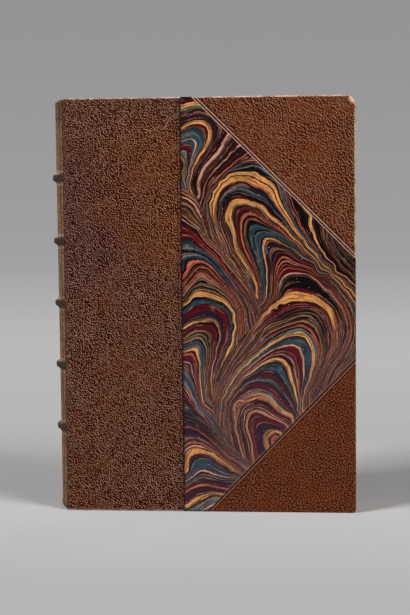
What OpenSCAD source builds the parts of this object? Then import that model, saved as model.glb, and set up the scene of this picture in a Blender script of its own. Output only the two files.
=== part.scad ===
// Half-leather book with leather corners and marbled paper sides, standing on its tail edges.
// X runs from the spine to the fore-edge, Y through the thickness with the front cover at -Y, Z up.
// The origin is below the middle of the whole book, on the surface that it stands on.

/* [Book] */
// Height of the covers, from tail to head
book_h = 225; // [200:1:300]
// Width of a cover, from the joint to the fore-edge
cover_w = 157; // [130:1:220]
// Thickness of the text block between the endpapers
block_t = 25; // [16:0.5:32]
// Distance that the covers stand past the text block
square_w = 3.5; // [2:0.5:6]

/* [Covers] */
// Thickness of the bare board
board_t = 2.4; // [1.6:0.1:4]
// Thickness of the leather
leather_t = 0.5; // [0.3:0.05:0.7]
// Thickness of the marbled paper
paper_t = 0.2; // [0.1:0.05:0.3]
// Thickness of an endpaper
endpaper_t = 0.2; // [0.1:0.05:0.3]
// Rounding of the covers' edges
edge_r = 1; // [0.6:0.1:1.2]
// Radius of the covers' two corners at the fore-edge
corner_r = 2.2; // [1.5:0.1:5]
// Width of the leather and the paper turned in over the inner face
turn_in = 15; // [8:1:22]
// Margin between the pastedown and the covers' edges
pastedown_margin = 3; // [2:0.5:6]
// Size of the nip cut off the boards at the two ends of the joint
back_corner = 4; // [2:0.5:6]

/* [Leather and paper on the sides] */
// Leather showing beside the joint, at the head
side_head_w = 62.5; // [45:0.1:80]
// Leather showing beside the joint, at the tail
side_tail_w = 64.2; // [45:0.1:80]
// Paper showing on the head edge, between the side leather and the corner
paper_head_w = 6.5; // [5.5:0.1:30]
// Paper showing on the tail edge, between the side leather and the corner
paper_tail_w = 12.3; // [5.5:0.1:30]
// Leather corner at the head, down the fore-edge
head_corner_h = 87.5; // [50:0.5:105]
// Leather corner at the tail, up the fore-edge
tail_corner_h = 83.5; // [50:0.5:105]
// Width of paper lying over the leather's edge
lap = 2; // [1:0.1:2.5]

/* [Spine] */
// Distance that the rounded spine stands out past the joints
spine_rise = 7.8; // [5:0.1:10]
// Thickness of the spine lining
lining_t = 0.5; // [0.3:0.1:0.8]
// Step from the covers' leather down to the spine's at a joint
joint_step = 0.3; // [0.2:0.05:0.6]
// Number of raised bands
band_count = 5; // [4:1:5]
// Height of the middle of the lowest band above the tail
band_first = 45.9; // [30:0.1:60]
// Distance from one band to the next
band_pitch = 33.9; // [28:0.1:38]
// Width of a band over its leather
band_w = 3.4; // [2.6:0.1:5]
// Distance that a band stands past the spine
band_rise = 2.3; // [1.2:0.1:3]
// Distance from the joint's edge at which a band has sunk into the spine
band_fade = 1.5; // [1:0.1:3]
// Rounding of the leather caps at head and tail
cap_r = 1.5; // [1:0.1:2]
// Depth of the leather caps, from the back of the spine inwards
cap_depth = 3.2; // [2.6:0.1:4.5]

/* [Headbands] */
// Diameter of a headband
headband_d = 2.2; // [1.6:0.1:2.4]
// Part of a headband pressed flat on the text block
headband_seat = 0.3; // [0.1:0.1:0.6]
// Distance from the ends of a headband to the text block's sides
headband_inset = 0.8; // [0.5:0.1:2]

/* [Clearances] */
// Gap between a closed cover's pastedown and the flyleaf
cover_gap = 0.3; // [0.3:0.1:1]
// Gap between the spine's leather and a cover's leather at the joint
leather_split = 0.3; // [0.3:0.1:0.6]
// Distance from the joint line to the board's edge
board_gap = 1; // [0.8:0.1:2]
// Distance from the joint line to the text block's shoulder
shoulder_gap = 0.5; // [0.4:0.1:1]

/* [Hidden] */
BANDS = ["raised_band_1", "raised_band_2", "raised_band_3", "raised_band_4", "raised_band_5"];
$fn = 96;

// Distances from the middle plane of the book, out to the outer face of a cover
leaf_y = block_t / 2;
inner_y = leaf_y + endpaper_t + cover_gap + endpaper_t;
outer_y = inner_y + leather_t + board_t + leather_t + paper_t;
leather_y = outer_y - paper_t;

// The joint and the fore-edge along X, which put the whole book's middle at zero
joint_x = (spine_rise + band_rise - cover_w) / 2;
fore_x = joint_x + cover_w;

// The leather corners along the head and tail edges
head_corner_w = cover_w - side_head_w - paper_head_w;
tail_corner_w = cover_w - side_tail_w - paper_tail_w;

// The spine's arc through both joints
spine_c = leather_y - joint_step;
spine_r = (spine_c * spine_c + spine_rise * spine_rise) / (2 * spine_rise);
spine_x = joint_x - spine_rise + spine_r;
lining_r = spine_r - leather_t;
block_r = lining_r - lining_t;

// The bands' arc, which meets the spine's arc where the bands fade
fade_y = spine_c - band_fade;
fade_x = spine_x - sqrt(spine_r * spine_r - fade_y * fade_y);
band_reach = fade_x - (joint_x - spine_rise - band_rise);
band_r = (fade_y * fade_y + band_reach * band_reach) / (2 * band_reach);
band_x = fade_x - band_reach + band_r;

// The text block
block_x = joint_x - shoulder_gap;
block_fore_x = fore_x - square_w;
block_h = book_h - 2 * square_w;
shoulder_y = sqrt(block_r * block_r - (spine_x - block_x) * (spine_x - block_x));

// Reach of the tools that cut past a solid's edges
over = 5;

leather_colour = [0.34, 0.19, 0.13];
corner_colour = [0.38, 0.21, 0.13];
spine_colour = [0.43, 0.31, 0.21];
paper_colour = [0.42, 0.3, 0.28];
leaf_colour = [0.87, 0.81, 0.68];
board_colour = [0.66, 0.58, 0.45];
silk_colour = [0.55, 0.22, 0.18];
band_colour = [0.5, 0.36, 0.24];

// Flat outlines

module rounded_box(x0, x1, y0, y1, r) {
    translate([x0 + r, y0]) square([x1 - x0 - 2 * r, y1 - y0]);
    translate([x0, y0 + r]) square([x1 - x0, y1 - y0 - 2 * r]);
    for (x = [x0 + r, x1 - r]) {
        for (y = [y0 + r, y1 - r]) translate([x, y]) circle(r);
    }
}

// Width of the visible side leather at the height z
function side_w_at(z) = side_tail_w + (side_head_w - side_tail_w) * z / book_h;

// The side leather seen on the face of a cover, with more of it under the paper
module side_zone(hidden) {
    polygon([
        [joint_x - over, -over],
        [joint_x + side_w_at(-over) + hidden, -over],
        [joint_x + side_w_at(book_h + over) + hidden, book_h + over],
        [joint_x - over, book_h + over]
    ]);
}

// A leather corner that reaches w along the head edge and h down the fore-edge
module corner_zone(w, h, hidden) {
    slope = sqrt(w * w + h * h);
    w2 = w + hidden * slope / h;
    h2 = h + hidden * slope / w;
    difference() {
        polygon([
            [fore_x - w2 - over * w2 / h2, book_h + over],
            [fore_x + over, book_h + over],
            [fore_x + over, book_h - h2 - over * h2 / w2]
        ]);
        side_zone(hidden);
    }
}

module head_corner_zone(hidden) {
    corner_zone(head_corner_w, head_corner_h, hidden);
}

module tail_corner_zone(hidden) {
    difference() {
        translate([0, book_h]) mirror([0, 1]) corner_zone(tail_corner_w, tail_corner_h, hidden);
        side_zone(hidden);
    }
}

// What the leather leaves free
module paper_zone(hidden) {
    difference() {
        translate([joint_x, -over]) square([cover_w + over, book_h + 2 * over]);
        side_zone(hidden);
        head_corner_zone(hidden);
        tail_corner_zone(hidden);
    }
}

// The part of the inner face inside the turn-ins
module inner_field(x0) {
    translate([x0, turn_in]) square([fore_x - turn_in - x0, book_h - 2 * turn_in]);
}

// Cover solids, drawn for the front cover

// A plate between two distances from the book's middle plane
module plate(y0, y1) {
    translate([0, -y0, 0]) rotate([90, 0, 0]) linear_extrude(y1 - y0) children();
}

// The cover's form with its edges, outer face and inner face moved in by the given amounts
module cover_form(edge_in, outer_in, inner_in, x0) {
    y0 = inner_y + inner_in;
    y1 = outer_y - outer_in;
    r = max(edge_r - edge_in, 0.1);
    intersection() {
        plate(y0, y1)
            rounded_box(joint_x - over, fore_x - edge_in, edge_in, book_h - edge_in, corner_r - edge_in);
        translate([joint_x - over, 0, 0]) rotate([90, 0, 90]) linear_extrude(cover_w + 2 * over)
            rounded_box(-y1, -y0, edge_in, book_h - edge_in, r);
        linear_extrude(book_h) rounded_box(x0, fore_x - edge_in, -y1, -y0, r);
    }
}

module leather_skin() {
    skin_x = joint_x + leather_split / 2;
    difference() {
        cover_form(0, paper_t, 0, joint_x - over);
        cover_form(leather_t, paper_t + leather_t, leather_t, joint_x - over);
        plate(inner_y - over, inner_y + leather_t) inner_field(joint_x - over);
        plate(inner_y - over, inner_y + leather_t)
            translate([joint_x - over, -over]) square([over + board_gap, book_h + 2 * over]);
        translate([joint_x - 2 * over, -outer_y - over, -over])
            cube([skin_x - joint_x + 2 * over, 2 * over + outer_y, book_h + 2 * over]);
    }
}

// The leather skin inside one zone of the face
module leather_piece() {
    intersection() {
        leather_skin();
        plate(inner_y - over, outer_y + over) children();
    }
}

module board() {
    board_x = joint_x + board_gap;
    difference() {
        union() {
            cover_form(leather_t, paper_t + leather_t, leather_t, board_x);
            intersection() {
                cover_form(paper_t, paper_t, paper_t, board_x);
                plate(inner_y - over, outer_y + over) paper_zone(lap);
            }
            plate(inner_y, inner_y + 2 * leather_t) inner_field(board_x);
        }
        for (z = [leather_t, book_h - leather_t]) {
            translate([board_x, -inner_y, z]) rotate([0, 45, 0])
                cube([back_corner * sqrt(2), 4 * outer_y, back_corner * sqrt(2)], center = true);
        }
    }
}

module side_leather() {
    leather_piece() side_zone(lap);
}

module head_corner() {
    leather_piece() head_corner_zone(lap);
}

module tail_corner() {
    leather_piece() tail_corner_zone(lap);
}

// Paper on the bare board, turned in at the edges, and lapping over the leather on the outer face
module marbled_paper() {
    difference() {
        intersection() {
            cover_form(0, 0, 0, joint_x - over);
            plate(inner_y - over, outer_y + over) paper_zone(lap);
        }
        cover_form(paper_t, paper_t, paper_t, joint_x - over);
        plate(inner_y - over, inner_y + paper_t) inner_field(joint_x - over);
    }
    intersection() {
        cover_form(0, 0, 0, joint_x - over);
        plate(outer_y - paper_t, outer_y + over) paper_zone(0);
    }
}

// Endpaper on the inner face, folded down the board's edge at the joint
module pastedown() {
    fold_x = joint_x + board_gap - endpaper_t;
    plate(inner_y - endpaper_t, inner_y)
        translate([fold_x, pastedown_margin])
            square([fore_x - pastedown_margin - fold_x, book_h - 2 * pastedown_margin]);
    plate(inner_y - endpaper_t, leather_y - 2 * leather_t)
        translate([fold_x, turn_in]) square([endpaper_t, book_h - 2 * turn_in]);
}

// The block and the spine

module text_block() {
    fore_r = sqrt(block_r * block_r - leaf_y * leaf_y);
    color(leaf_colour)
    translate([0, 0, square_w]) linear_extrude(block_h) difference() {
        union() {
            intersection() {
                translate([spine_x, 0]) circle(block_r);
                translate([block_x - block_r, -block_r]) square([block_r, 2 * block_r]);
            }
            translate([block_x, -leaf_y]) square([block_fore_x - block_x, block_t]);
        }
        translate([block_fore_x + fore_r, 0]) circle(block_r);
    }
}

// Endpaper on the first leaf, folded up the block's shoulder at the joint
module flyleaf() {
    color(leaf_colour) {
        plate(leaf_y, leaf_y + endpaper_t)
            translate([block_x, square_w]) square([block_fore_x - block_x, block_h]);
        plate(leaf_y, shoulder_y)
            translate([block_x, square_w]) square([endpaper_t, block_h]);
    }
}

module spine_lining() {
    color(board_colour)
    translate([0, 0, square_w]) linear_extrude(block_h) intersection() {
        difference() {
            translate([spine_x, 0]) circle(lining_r);
            translate([spine_x, 0]) circle(block_r);
        }
        translate([block_x - spine_r, -spine_r]) square([spine_r, 2 * spine_r]);
    }
}

// A half-round ridge turned about the bands' own centre
module band_ridge(r, w) {
    translate([band_x, 0, 0]) rotate_extrude() {
        translate([0, -w / 2]) square([r - w / 2, w]);
        intersection() {
            translate([r - w / 2, 0]) circle(w / 2);
            translate([0, -w]) square([r + w, 2 * w]);
        }
    }
}

function band_z(i) = band_first + i * band_pitch;

// Strip glued on the lining, under the leather, with its thin tips cut off
module raised_band(i) {
    tip_y = fade_y - 2 * leather_t;
    color(band_colour)
    translate([0, 0, band_z(i)]) intersection() {
        difference() {
            band_ridge(band_r - leather_t, band_w - 2 * leather_t);
            translate([spine_x, 0, -band_w]) cylinder(r = lining_r, h = 2 * band_w);
        }
        translate([joint_x - 2 * spine_r, -tip_y, -band_w]) cube([2 * spine_r, 2 * tip_y, 2 * band_w]);
    }
}

// Section of the spine leather: a wall that turns in over the headbands at both ends
module spine_section() {
    difference() {
        rounded_box(spine_r - 3 * cap_depth, spine_r, 0, book_h, cap_r);
        rounded_box(spine_r - 4 * cap_depth, lining_r, leather_t, book_h - leather_t, cap_r - leather_t);
        translate([spine_r - 4 * cap_depth, -over]) square([3 * cap_depth, book_h + 2 * over]);
    }
}

module spine_leather() {
    end_x = joint_x - leather_split / 2;
    color(spine_colour)
    intersection() {
        difference() {
            union() {
                translate([spine_x, 0, 0]) rotate_extrude() spine_section();
                for (i = [0 : band_count - 1]) {
                    translate([0, 0, band_z(i)]) difference() {
                        band_ridge(band_r, band_w);
                        translate([spine_x, 0, -band_w])
                            cylinder(r = lining_r + leather_t / 2, h = 2 * band_w);
                    }
                }
            }
            for (i = [0 : band_count - 1]) raised_band(i);
        }
        translate([end_x - 2 * spine_r, -spine_r, -over])
            cube([2 * spine_r, 2 * spine_r, book_h + 2 * over]);
    }
}

// A headband wrapped round its core, following the spine and seated on the block's end
module headband_roll() {
    roll_r = headband_d / 2;
    path_r = block_r - roll_r;
    reach = asin((leaf_y - headband_inset) / path_r);
    color(silk_colour)
    intersection() {
        translate([spine_x, 0, roll_r - headband_seat]) rotate([0, 0, 180 - reach])
            rotate_extrude(angle = 2 * reach) translate([path_r, 0]) circle(roll_r);
        translate([joint_x - spine_r, -spine_r, 0]) cube([2 * spine_r, 2 * spine_r, headband_d]);
    }
}

module headband() {
    translate([0, 0, book_h - square_w]) headband_roll();
}

module tailband() {
    translate([0, 0, square_w]) mirror([0, 0, 1]) headband_roll();
}

// One piece of a cover, by the end of its node's name
module cover_piece(piece) {
    if (piece == "board") color(board_colour) board();
    if (piece == "side_leather") color(leather_colour) side_leather();
    if (piece == "head_corner") color(corner_colour) head_corner();
    if (piece == "tail_corner") color(corner_colour) tail_corner();
    if (piece == "marbled_paper") color(paper_colour) marbled_paper();
    if (piece == "pastedown") color(leaf_colour) pastedown();
}

text_block();
flyleaf();  // front_flyleaf
mirror([0, 1, 0]) flyleaf();  // back_flyleaf
headband();
tailband();
spine_lining();
spine_leather();
for (i = [0 : band_count - 1]) {
    raised_band(i);
}
for (piece = ["board", "side_leather", "head_corner", "tail_corner", "marbled_paper", "pastedown"]) {
    cover_piece(piece);
    mirror([0, 1, 0]) cover_piece(piece);
}
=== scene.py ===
import math

import bmesh
import bpy
import numpy as np
from mathutils import Matrix, Vector, noise


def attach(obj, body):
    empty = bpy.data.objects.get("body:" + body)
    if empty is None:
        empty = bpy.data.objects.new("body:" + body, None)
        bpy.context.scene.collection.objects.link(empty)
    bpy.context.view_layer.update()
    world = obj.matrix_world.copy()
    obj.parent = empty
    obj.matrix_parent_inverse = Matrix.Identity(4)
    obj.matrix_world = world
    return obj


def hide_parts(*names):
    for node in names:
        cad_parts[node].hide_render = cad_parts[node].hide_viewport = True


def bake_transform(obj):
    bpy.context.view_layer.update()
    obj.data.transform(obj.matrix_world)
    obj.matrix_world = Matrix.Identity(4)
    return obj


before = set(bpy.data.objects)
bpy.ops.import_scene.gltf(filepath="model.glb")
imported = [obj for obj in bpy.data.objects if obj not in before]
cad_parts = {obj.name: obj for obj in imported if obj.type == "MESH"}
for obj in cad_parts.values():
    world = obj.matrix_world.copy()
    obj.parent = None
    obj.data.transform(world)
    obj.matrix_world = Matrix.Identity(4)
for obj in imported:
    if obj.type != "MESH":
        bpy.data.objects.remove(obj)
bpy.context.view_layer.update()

# Lengths below are in millimetres in the book's frame, and become metres when a mesh is made.
MM = 0.001

# The covers
SIDES = {"front": -1, "back": 1}
BOOK_H = 225.0
COVER_W = 157.0
JOINT_X = -73.45
FORE_X = JOINT_X + COVER_W
PAPER_Y = 16.8
LEATHER_Y = 16.6
INNER_Y = 13.2
LEATHER_T = 0.5
PAPER_T = 0.2
EDGE_R = 1.0
CORNER_R = 2.2
BAND_IN = 3.0
TURN_IN = 15.0

# The coverings start beside the joint, and the side leather bends across it
SKIN_X = JOINT_X + 0.15
BEND_START = JOINT_X - 0.15
BEND_END = JOINT_X + 0.8

# The paper's straight edges, and the leather beside them: its lap and its blind tooled line
SIDE_HEAD_W = 62.5
SIDE_TAIL_W = 64.2
HEAD_CORNER = (88.0, 87.5)
TAIL_CORNER = (80.5, 83.5)
LAP = 1.8
TOOLED_AT = 1.7
SEAM_W = 2.4
SEAM_CUTS = (-0.12, 0.0, 1.0, 1.35, TOOLED_AT, 2.05, SEAM_W)

# The rubbed head corner of the front cover
WORN_REACH = 6.0
WORN_PULL = 1.3

# The spine
SPINE_HALF_W = 16.3
RISE_TAIL = 5.4
RISE_HEAD = 8.6
BAND_Z = [45.7, 79.8, 113.7, 147.9, 182.5]
BAND_RISE = 2.15
BAND_HALF = 1.95
END_RULES = (14.5, 214.4)
CAP_R = 1.6
CAP_DEPTH = 3.2
CAP_DROOP = 1.0
LINING_T = 0.5

# The text block and its headbands; the covers stand out by a square beyond the leaves
SQUARE = 3.5
LEAF_Y = 12.5
BLOCK_X = JOINT_X - 0.5
BLOCK_FORE_X = FORE_X - SQUARE
BLOCK_FORE_R = 20.1
BLOCK_INSET = LEATHER_T + LINING_T
HEADBAND_R = 1.1
HEADBAND_SINK = 0.3
HEADBAND_STEPS = 220

# Angles in degrees between faces, above which an edge stays sharp
SHARP = 40.0
SHARP_SPINE = 60.0
SHARP_STRIP = 35.0


class Sheet:
    """Quads gathered patch by patch, where points that coincide become one vertex."""

    def __init__(self):
        self.index = {}
        self.points = []
        self.faces = []

    def vertex(self, p):
        key = tuple(round(c, 3) for c in p)
        if key not in self.index:
            self.index[key] = len(self.points)
            self.points.append(tuple(p))
        return self.index[key]

    def patch(self, rows):
        ids = [[self.vertex(p) for p in row] for row in rows]
        for low, high in zip(ids, ids[1:]):
            for i in range(len(low) - 1):
                face = list(dict.fromkeys((low[i], low[i + 1], high[i + 1], high[i])))
                if len(face) > 2:
                    self.faces.append(face)

    def bmesh(self):
        bm = bmesh.new()
        verts = [bm.verts.new(p) for p in self.points]
        for face in self.faces:
            corners = [verts[i] for i in face]
            if not bm.faces.get(corners):
                bm.faces.new(corners)
        bmesh.ops.recalc_face_normals(bm, faces=bm.faces[:])
        return bm


def spread(start, end, step):
    """Even values from start to end, about a step apart."""
    count = max(1, round(abs(end - start) / step))
    return [start + (end - start) * i / count for i in range(count + 1)]


def turns(start, end, step):
    """Angles in radians from whole degrees, without the end."""
    return [math.radians(a) for a in range(start, end, step)]


def smooth(t):
    t = min(max(t, 0.0), 1.0)
    return t * t * (3.0 - 2.0 * t)


def gauss(t):
    return math.exp(-t * t)


def flow(x, y, z, size):
    """Smooth noise about zero at a given size in millimetres."""
    return noise.noise(Vector((x / size, y / size, z / size)))


def make_object(name, bm, sharp=SHARP):
    """A mesh object from a bmesh in millimetres."""
    mesh = bpy.data.meshes.new(name)
    bmesh.ops.scale(bm, vec=(MM, MM, MM), verts=bm.verts[:])
    bm.to_mesh(mesh)
    bm.free()
    obj = bpy.data.objects.new(name, mesh)
    bpy.context.scene.collection.objects.link(obj)
    for polygon in mesh.polygons:
        polygon.use_smooth = True
    mesh.set_sharp_from_angle(angle=math.radians(sharp))
    return obj


def thicken(obj, thickness):
    """Give a skin its thickness, inwards from its outer face, and keep the result as the mesh."""
    modifier = obj.modifiers.new("thickness", "SOLIDIFY")
    modifier.thickness = thickness * MM
    modifier.offset = -1.0
    modifier.use_even_offset = True
    modifier.thickness_clamp = 0.0
    graph = bpy.context.evaluated_depsgraph_get()
    mesh = bpy.data.meshes.new_from_object(obj.evaluated_get(graph))
    obj.modifiers.clear()
    obj.data = mesh
    mesh.set_sharp_from_angle(angle=math.radians(SHARP))
    keep_rest(mesh)
    return obj


def points_mm(mesh):
    """The mesh's points as rows of x, y and z in millimetres."""
    co = np.zeros(len(mesh.vertices) * 3)
    mesh.vertices.foreach_get("co", co)
    return co.reshape(-1, 3) / MM


def keep_rest(mesh):
    """Store each point's place at rest as an attribute, for the finishes to read in place of the point's own
    place.
    """
    layer = mesh.attributes.new("rest_mm", "FLOAT_VECTOR", "POINT")
    layer.data.foreach_set("vector", points_mm(mesh).astype(np.float32).ravel())


def paint(obj, material):
    obj.data.materials.clear()
    obj.data.materials.append(material)


def place(obj, body, node, material):
    """One piece rides on its body in place of the node it stands for, and takes its finish."""
    paint(obj, material)
    if body:
        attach(obj, body)
    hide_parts(node)


# Shapes of the covers


def cut_plane(bm, point, normal, **clear):
    bmesh.ops.bisect_plane(bm, geom=bm.verts[:] + bm.edges[:] + bm.faces[:], dist=1e-5,
                           plane_co=point, plane_no=normal, **clear)


class Line:
    """A straight edge of the marbled paper; distances are positive on the leather."""

    def __init__(self, a, b, leather_side):
        self.a = Vector(a)
        direction = (Vector(b) - self.a).normalized()
        normal = Vector((-direction.y, direction.x))
        self.n = normal if (Vector(leather_side) - self.a).dot(normal) > 0 else -normal

    def distance(self, x, z):
        return (Vector((x, z)) - self.a).dot(self.n)

    def cut(self, bm, distance, keep=0):
        """Cut the mesh along the line; keep 1 is the leather's side, -1 the paper's, 0 is both."""
        p = self.a + self.n * distance
        cut_plane(bm, (p.x, 0, p.y), (self.n.x, 0, self.n.y),
                  clear_inner=keep > 0, clear_outer=keep < 0)


LINES = {
    "side_leather": Line((JOINT_X + SIDE_TAIL_W, 0), (JOINT_X + SIDE_HEAD_W, BOOK_H), (JOINT_X, 100)),
    "head_corner": Line((FORE_X - HEAD_CORNER[0], BOOK_H), (FORE_X, BOOK_H - HEAD_CORNER[1]),
                        (FORE_X, BOOK_H)),
    "tail_corner": Line((FORE_X - TAIL_CORNER[0], 0), (FORE_X, TAIL_CORNER[1]), (FORE_X, 0)),
}


def edge_profile(outer):
    """Stations round a cover's edge, as distance in from the outline and distance from the middle."""
    stations = [(BAND_IN, outer), (2.0, outer)]
    for turn in turns(0, 91, 18):
        stations.append((EDGE_R * (1 - math.sin(turn)), outer - EDGE_R * (1 - math.cos(turn))))
    for turn in turns(0, 91, 18):
        stations.append((EDGE_R * (1 - math.cos(turn)), INNER_Y + EDGE_R * (1 - math.sin(turn))))
    return stations + [(d, INNER_Y) for d in spread(BAND_IN, TURN_IN, 1.5)]


def corner_fan():
    """Points round the fore-edge corner of the outline, about the corner of the inner field."""
    centre = BAND_IN - CORNER_R
    points = [(BAND_IN, 0.0)]
    for turn in turns(0, 91, 15):
        points.append((centre + CORNER_R * math.cos(turn), centre + CORNER_R * math.sin(turn)))
    return points + [(0.0, BAND_IN)]


def corner_row(inset, y, end):
    """The points round a fore-edge corner at one station, at the tail (end 0) or the head."""
    scale = max(0.0, 1.0 - inset / BAND_IN)
    inner = max(inset, BAND_IN)
    return [(FORE_X - inner + u * scale, y, abs(end - (inner - v * scale))) for u, v in corner_fan()]


def cover_skin(sign, outer, step, first_x=SKIN_X):
    """The whole skin of one cover: outer face, three edges and the turn-in on the inner face."""
    sheet = Sheet()
    xs = spread(first_x, FORE_X - BAND_IN, step)
    zs = spread(BAND_IN, BOOK_H - BAND_IN, step)
    stations = [(inset, sign * y) for inset, y in edge_profile(outer)]
    sheet.patch([[(x, sign * outer, z) for x in xs] for z in zs])
    for end in (0.0, BOOK_H):
        sheet.patch([[(x, y, abs(end - min(inset, FORE_X - x))) for x in xs] for inset, y in stations])
        sheet.patch([corner_row(inset, y, end) for inset, y in stations])
    sheet.patch([[(FORE_X - min(inset, z, BOOK_H - z), y, z) for z in zs] for inset, y in stations])
    return sheet.bmesh()


def face_outwards(bm, sign):
    """Turn all the faces so that the outer face of the cover looks away from the book."""
    bm.normal_update()
    score = sum(f.normal.y * f.calc_area() for f in bm.faces
                if sign * f.calc_center_median().y > LEATHER_Y - 0.1)
    if score * sign < 0:
        bmesh.ops.reverse_faces(bm, faces=bm.faces[:])
    bm.normal_update()


def clear_joint(bm):
    """Cut the side leather for its bend, and take away all but its outer face there."""
    for x in (SKIN_X, JOINT_X + 0.4, BEND_END):
        cut_plane(bm, (x, 0, 0), (1, 0, 0))
    loose = []
    for face in bm.faces:
        x, y, _ = face.calc_center_median()
        on_edge = x < SKIN_X and abs(y) < LEATHER_Y - 0.4
        turned_in = x < BEND_END and abs(y) < INNER_Y + 0.1
        if on_edge or turned_in:
            loose.append(face)
    bmesh.ops.delete(bm, geom=loose, context="FACES")


def tail_notch(x, z):
    """Dent in the turned leather at the tail, where the nipped corner of the board leaves it hollow."""
    across = abs(x - (JOINT_X + 5.2 - 0.25 * z)) / max(1.5 - 0.38 * z, 0.2)
    return smooth(1.2 - across) * smooth((3.4 - z) / 1.6)


def leather_sink(x, y, z, side, kind):
    """How far a point of the leather lies below the plain skin.

    It lies low under the paper, in the tooled line and at the joint, and is nowhere quite even.
    """
    d = LINES[kind].distance(x, z)
    sink = 0.24 * smooth(-d / 0.12)
    sink += 0.13 * gauss((d - TOOLED_AT) / 0.32) * smooth(abs(y) - INNER_Y)
    sink += 0.05 * flow(x, y + 40 * SIDES[side], z, 17.0)
    if kind == "side_leather":
        sink += 0.3 * smooth((JOINT_X + 0.55 - x) / 0.7)
        if side == "front":
            sink += 0.4 * tail_notch(x, z)
    return sink


def leather_piece(side, kind):
    """The side leather or a leather corner of one cover."""
    line = LINES[kind]
    at_joint = kind == "side_leather"
    bm = cover_skin(SIDES[side], LEATHER_Y, 1.0, BEND_START if at_joint else SKIN_X)
    line.cut(bm, -LAP, keep=1)
    for distance in SEAM_CUTS:
        line.cut(bm, distance)
    if at_joint:
        clear_joint(bm)
    face_outwards(bm, SIDES[side])
    layer = bm.verts.layers.float.new("line_mm")
    for v in bm.verts:
        x, y, z = v.co
        v[layer] = line.distance(x, z)
        v.co -= v.normal * leather_sink(x, y, z, side, kind)
    if side == "front" and kind == "head_corner":
        wear_corner(bm)
    return thicken(make_object(f"{side}_{kind}_skin", bm), LEATHER_T)


def wear_corner(bm):
    """The head corner of the front cover is rubbed and pushed in a little."""
    for v in bm.verts:
        d = (Vector((v.co.x, v.co.z)) - Vector((FORE_X, BOOK_H))).length
        pull = WORN_PULL * smooth((WORN_REACH - d) / WORN_REACH)
        v.co.x -= pull
        v.co.z -= 0.6 * pull


def worn_board():
    """The front board with the same rubbed corner as the leather over it."""
    bm = bmesh.new()
    bm.from_mesh(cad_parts["front_board"].data)
    bmesh.ops.scale(bm, vec=(1 / MM, 1 / MM, 1 / MM), verts=bm.verts[:])
    wear_corner(bm)
    return make_object("front_board_core", bm)


# The field of the marbled pattern

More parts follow.
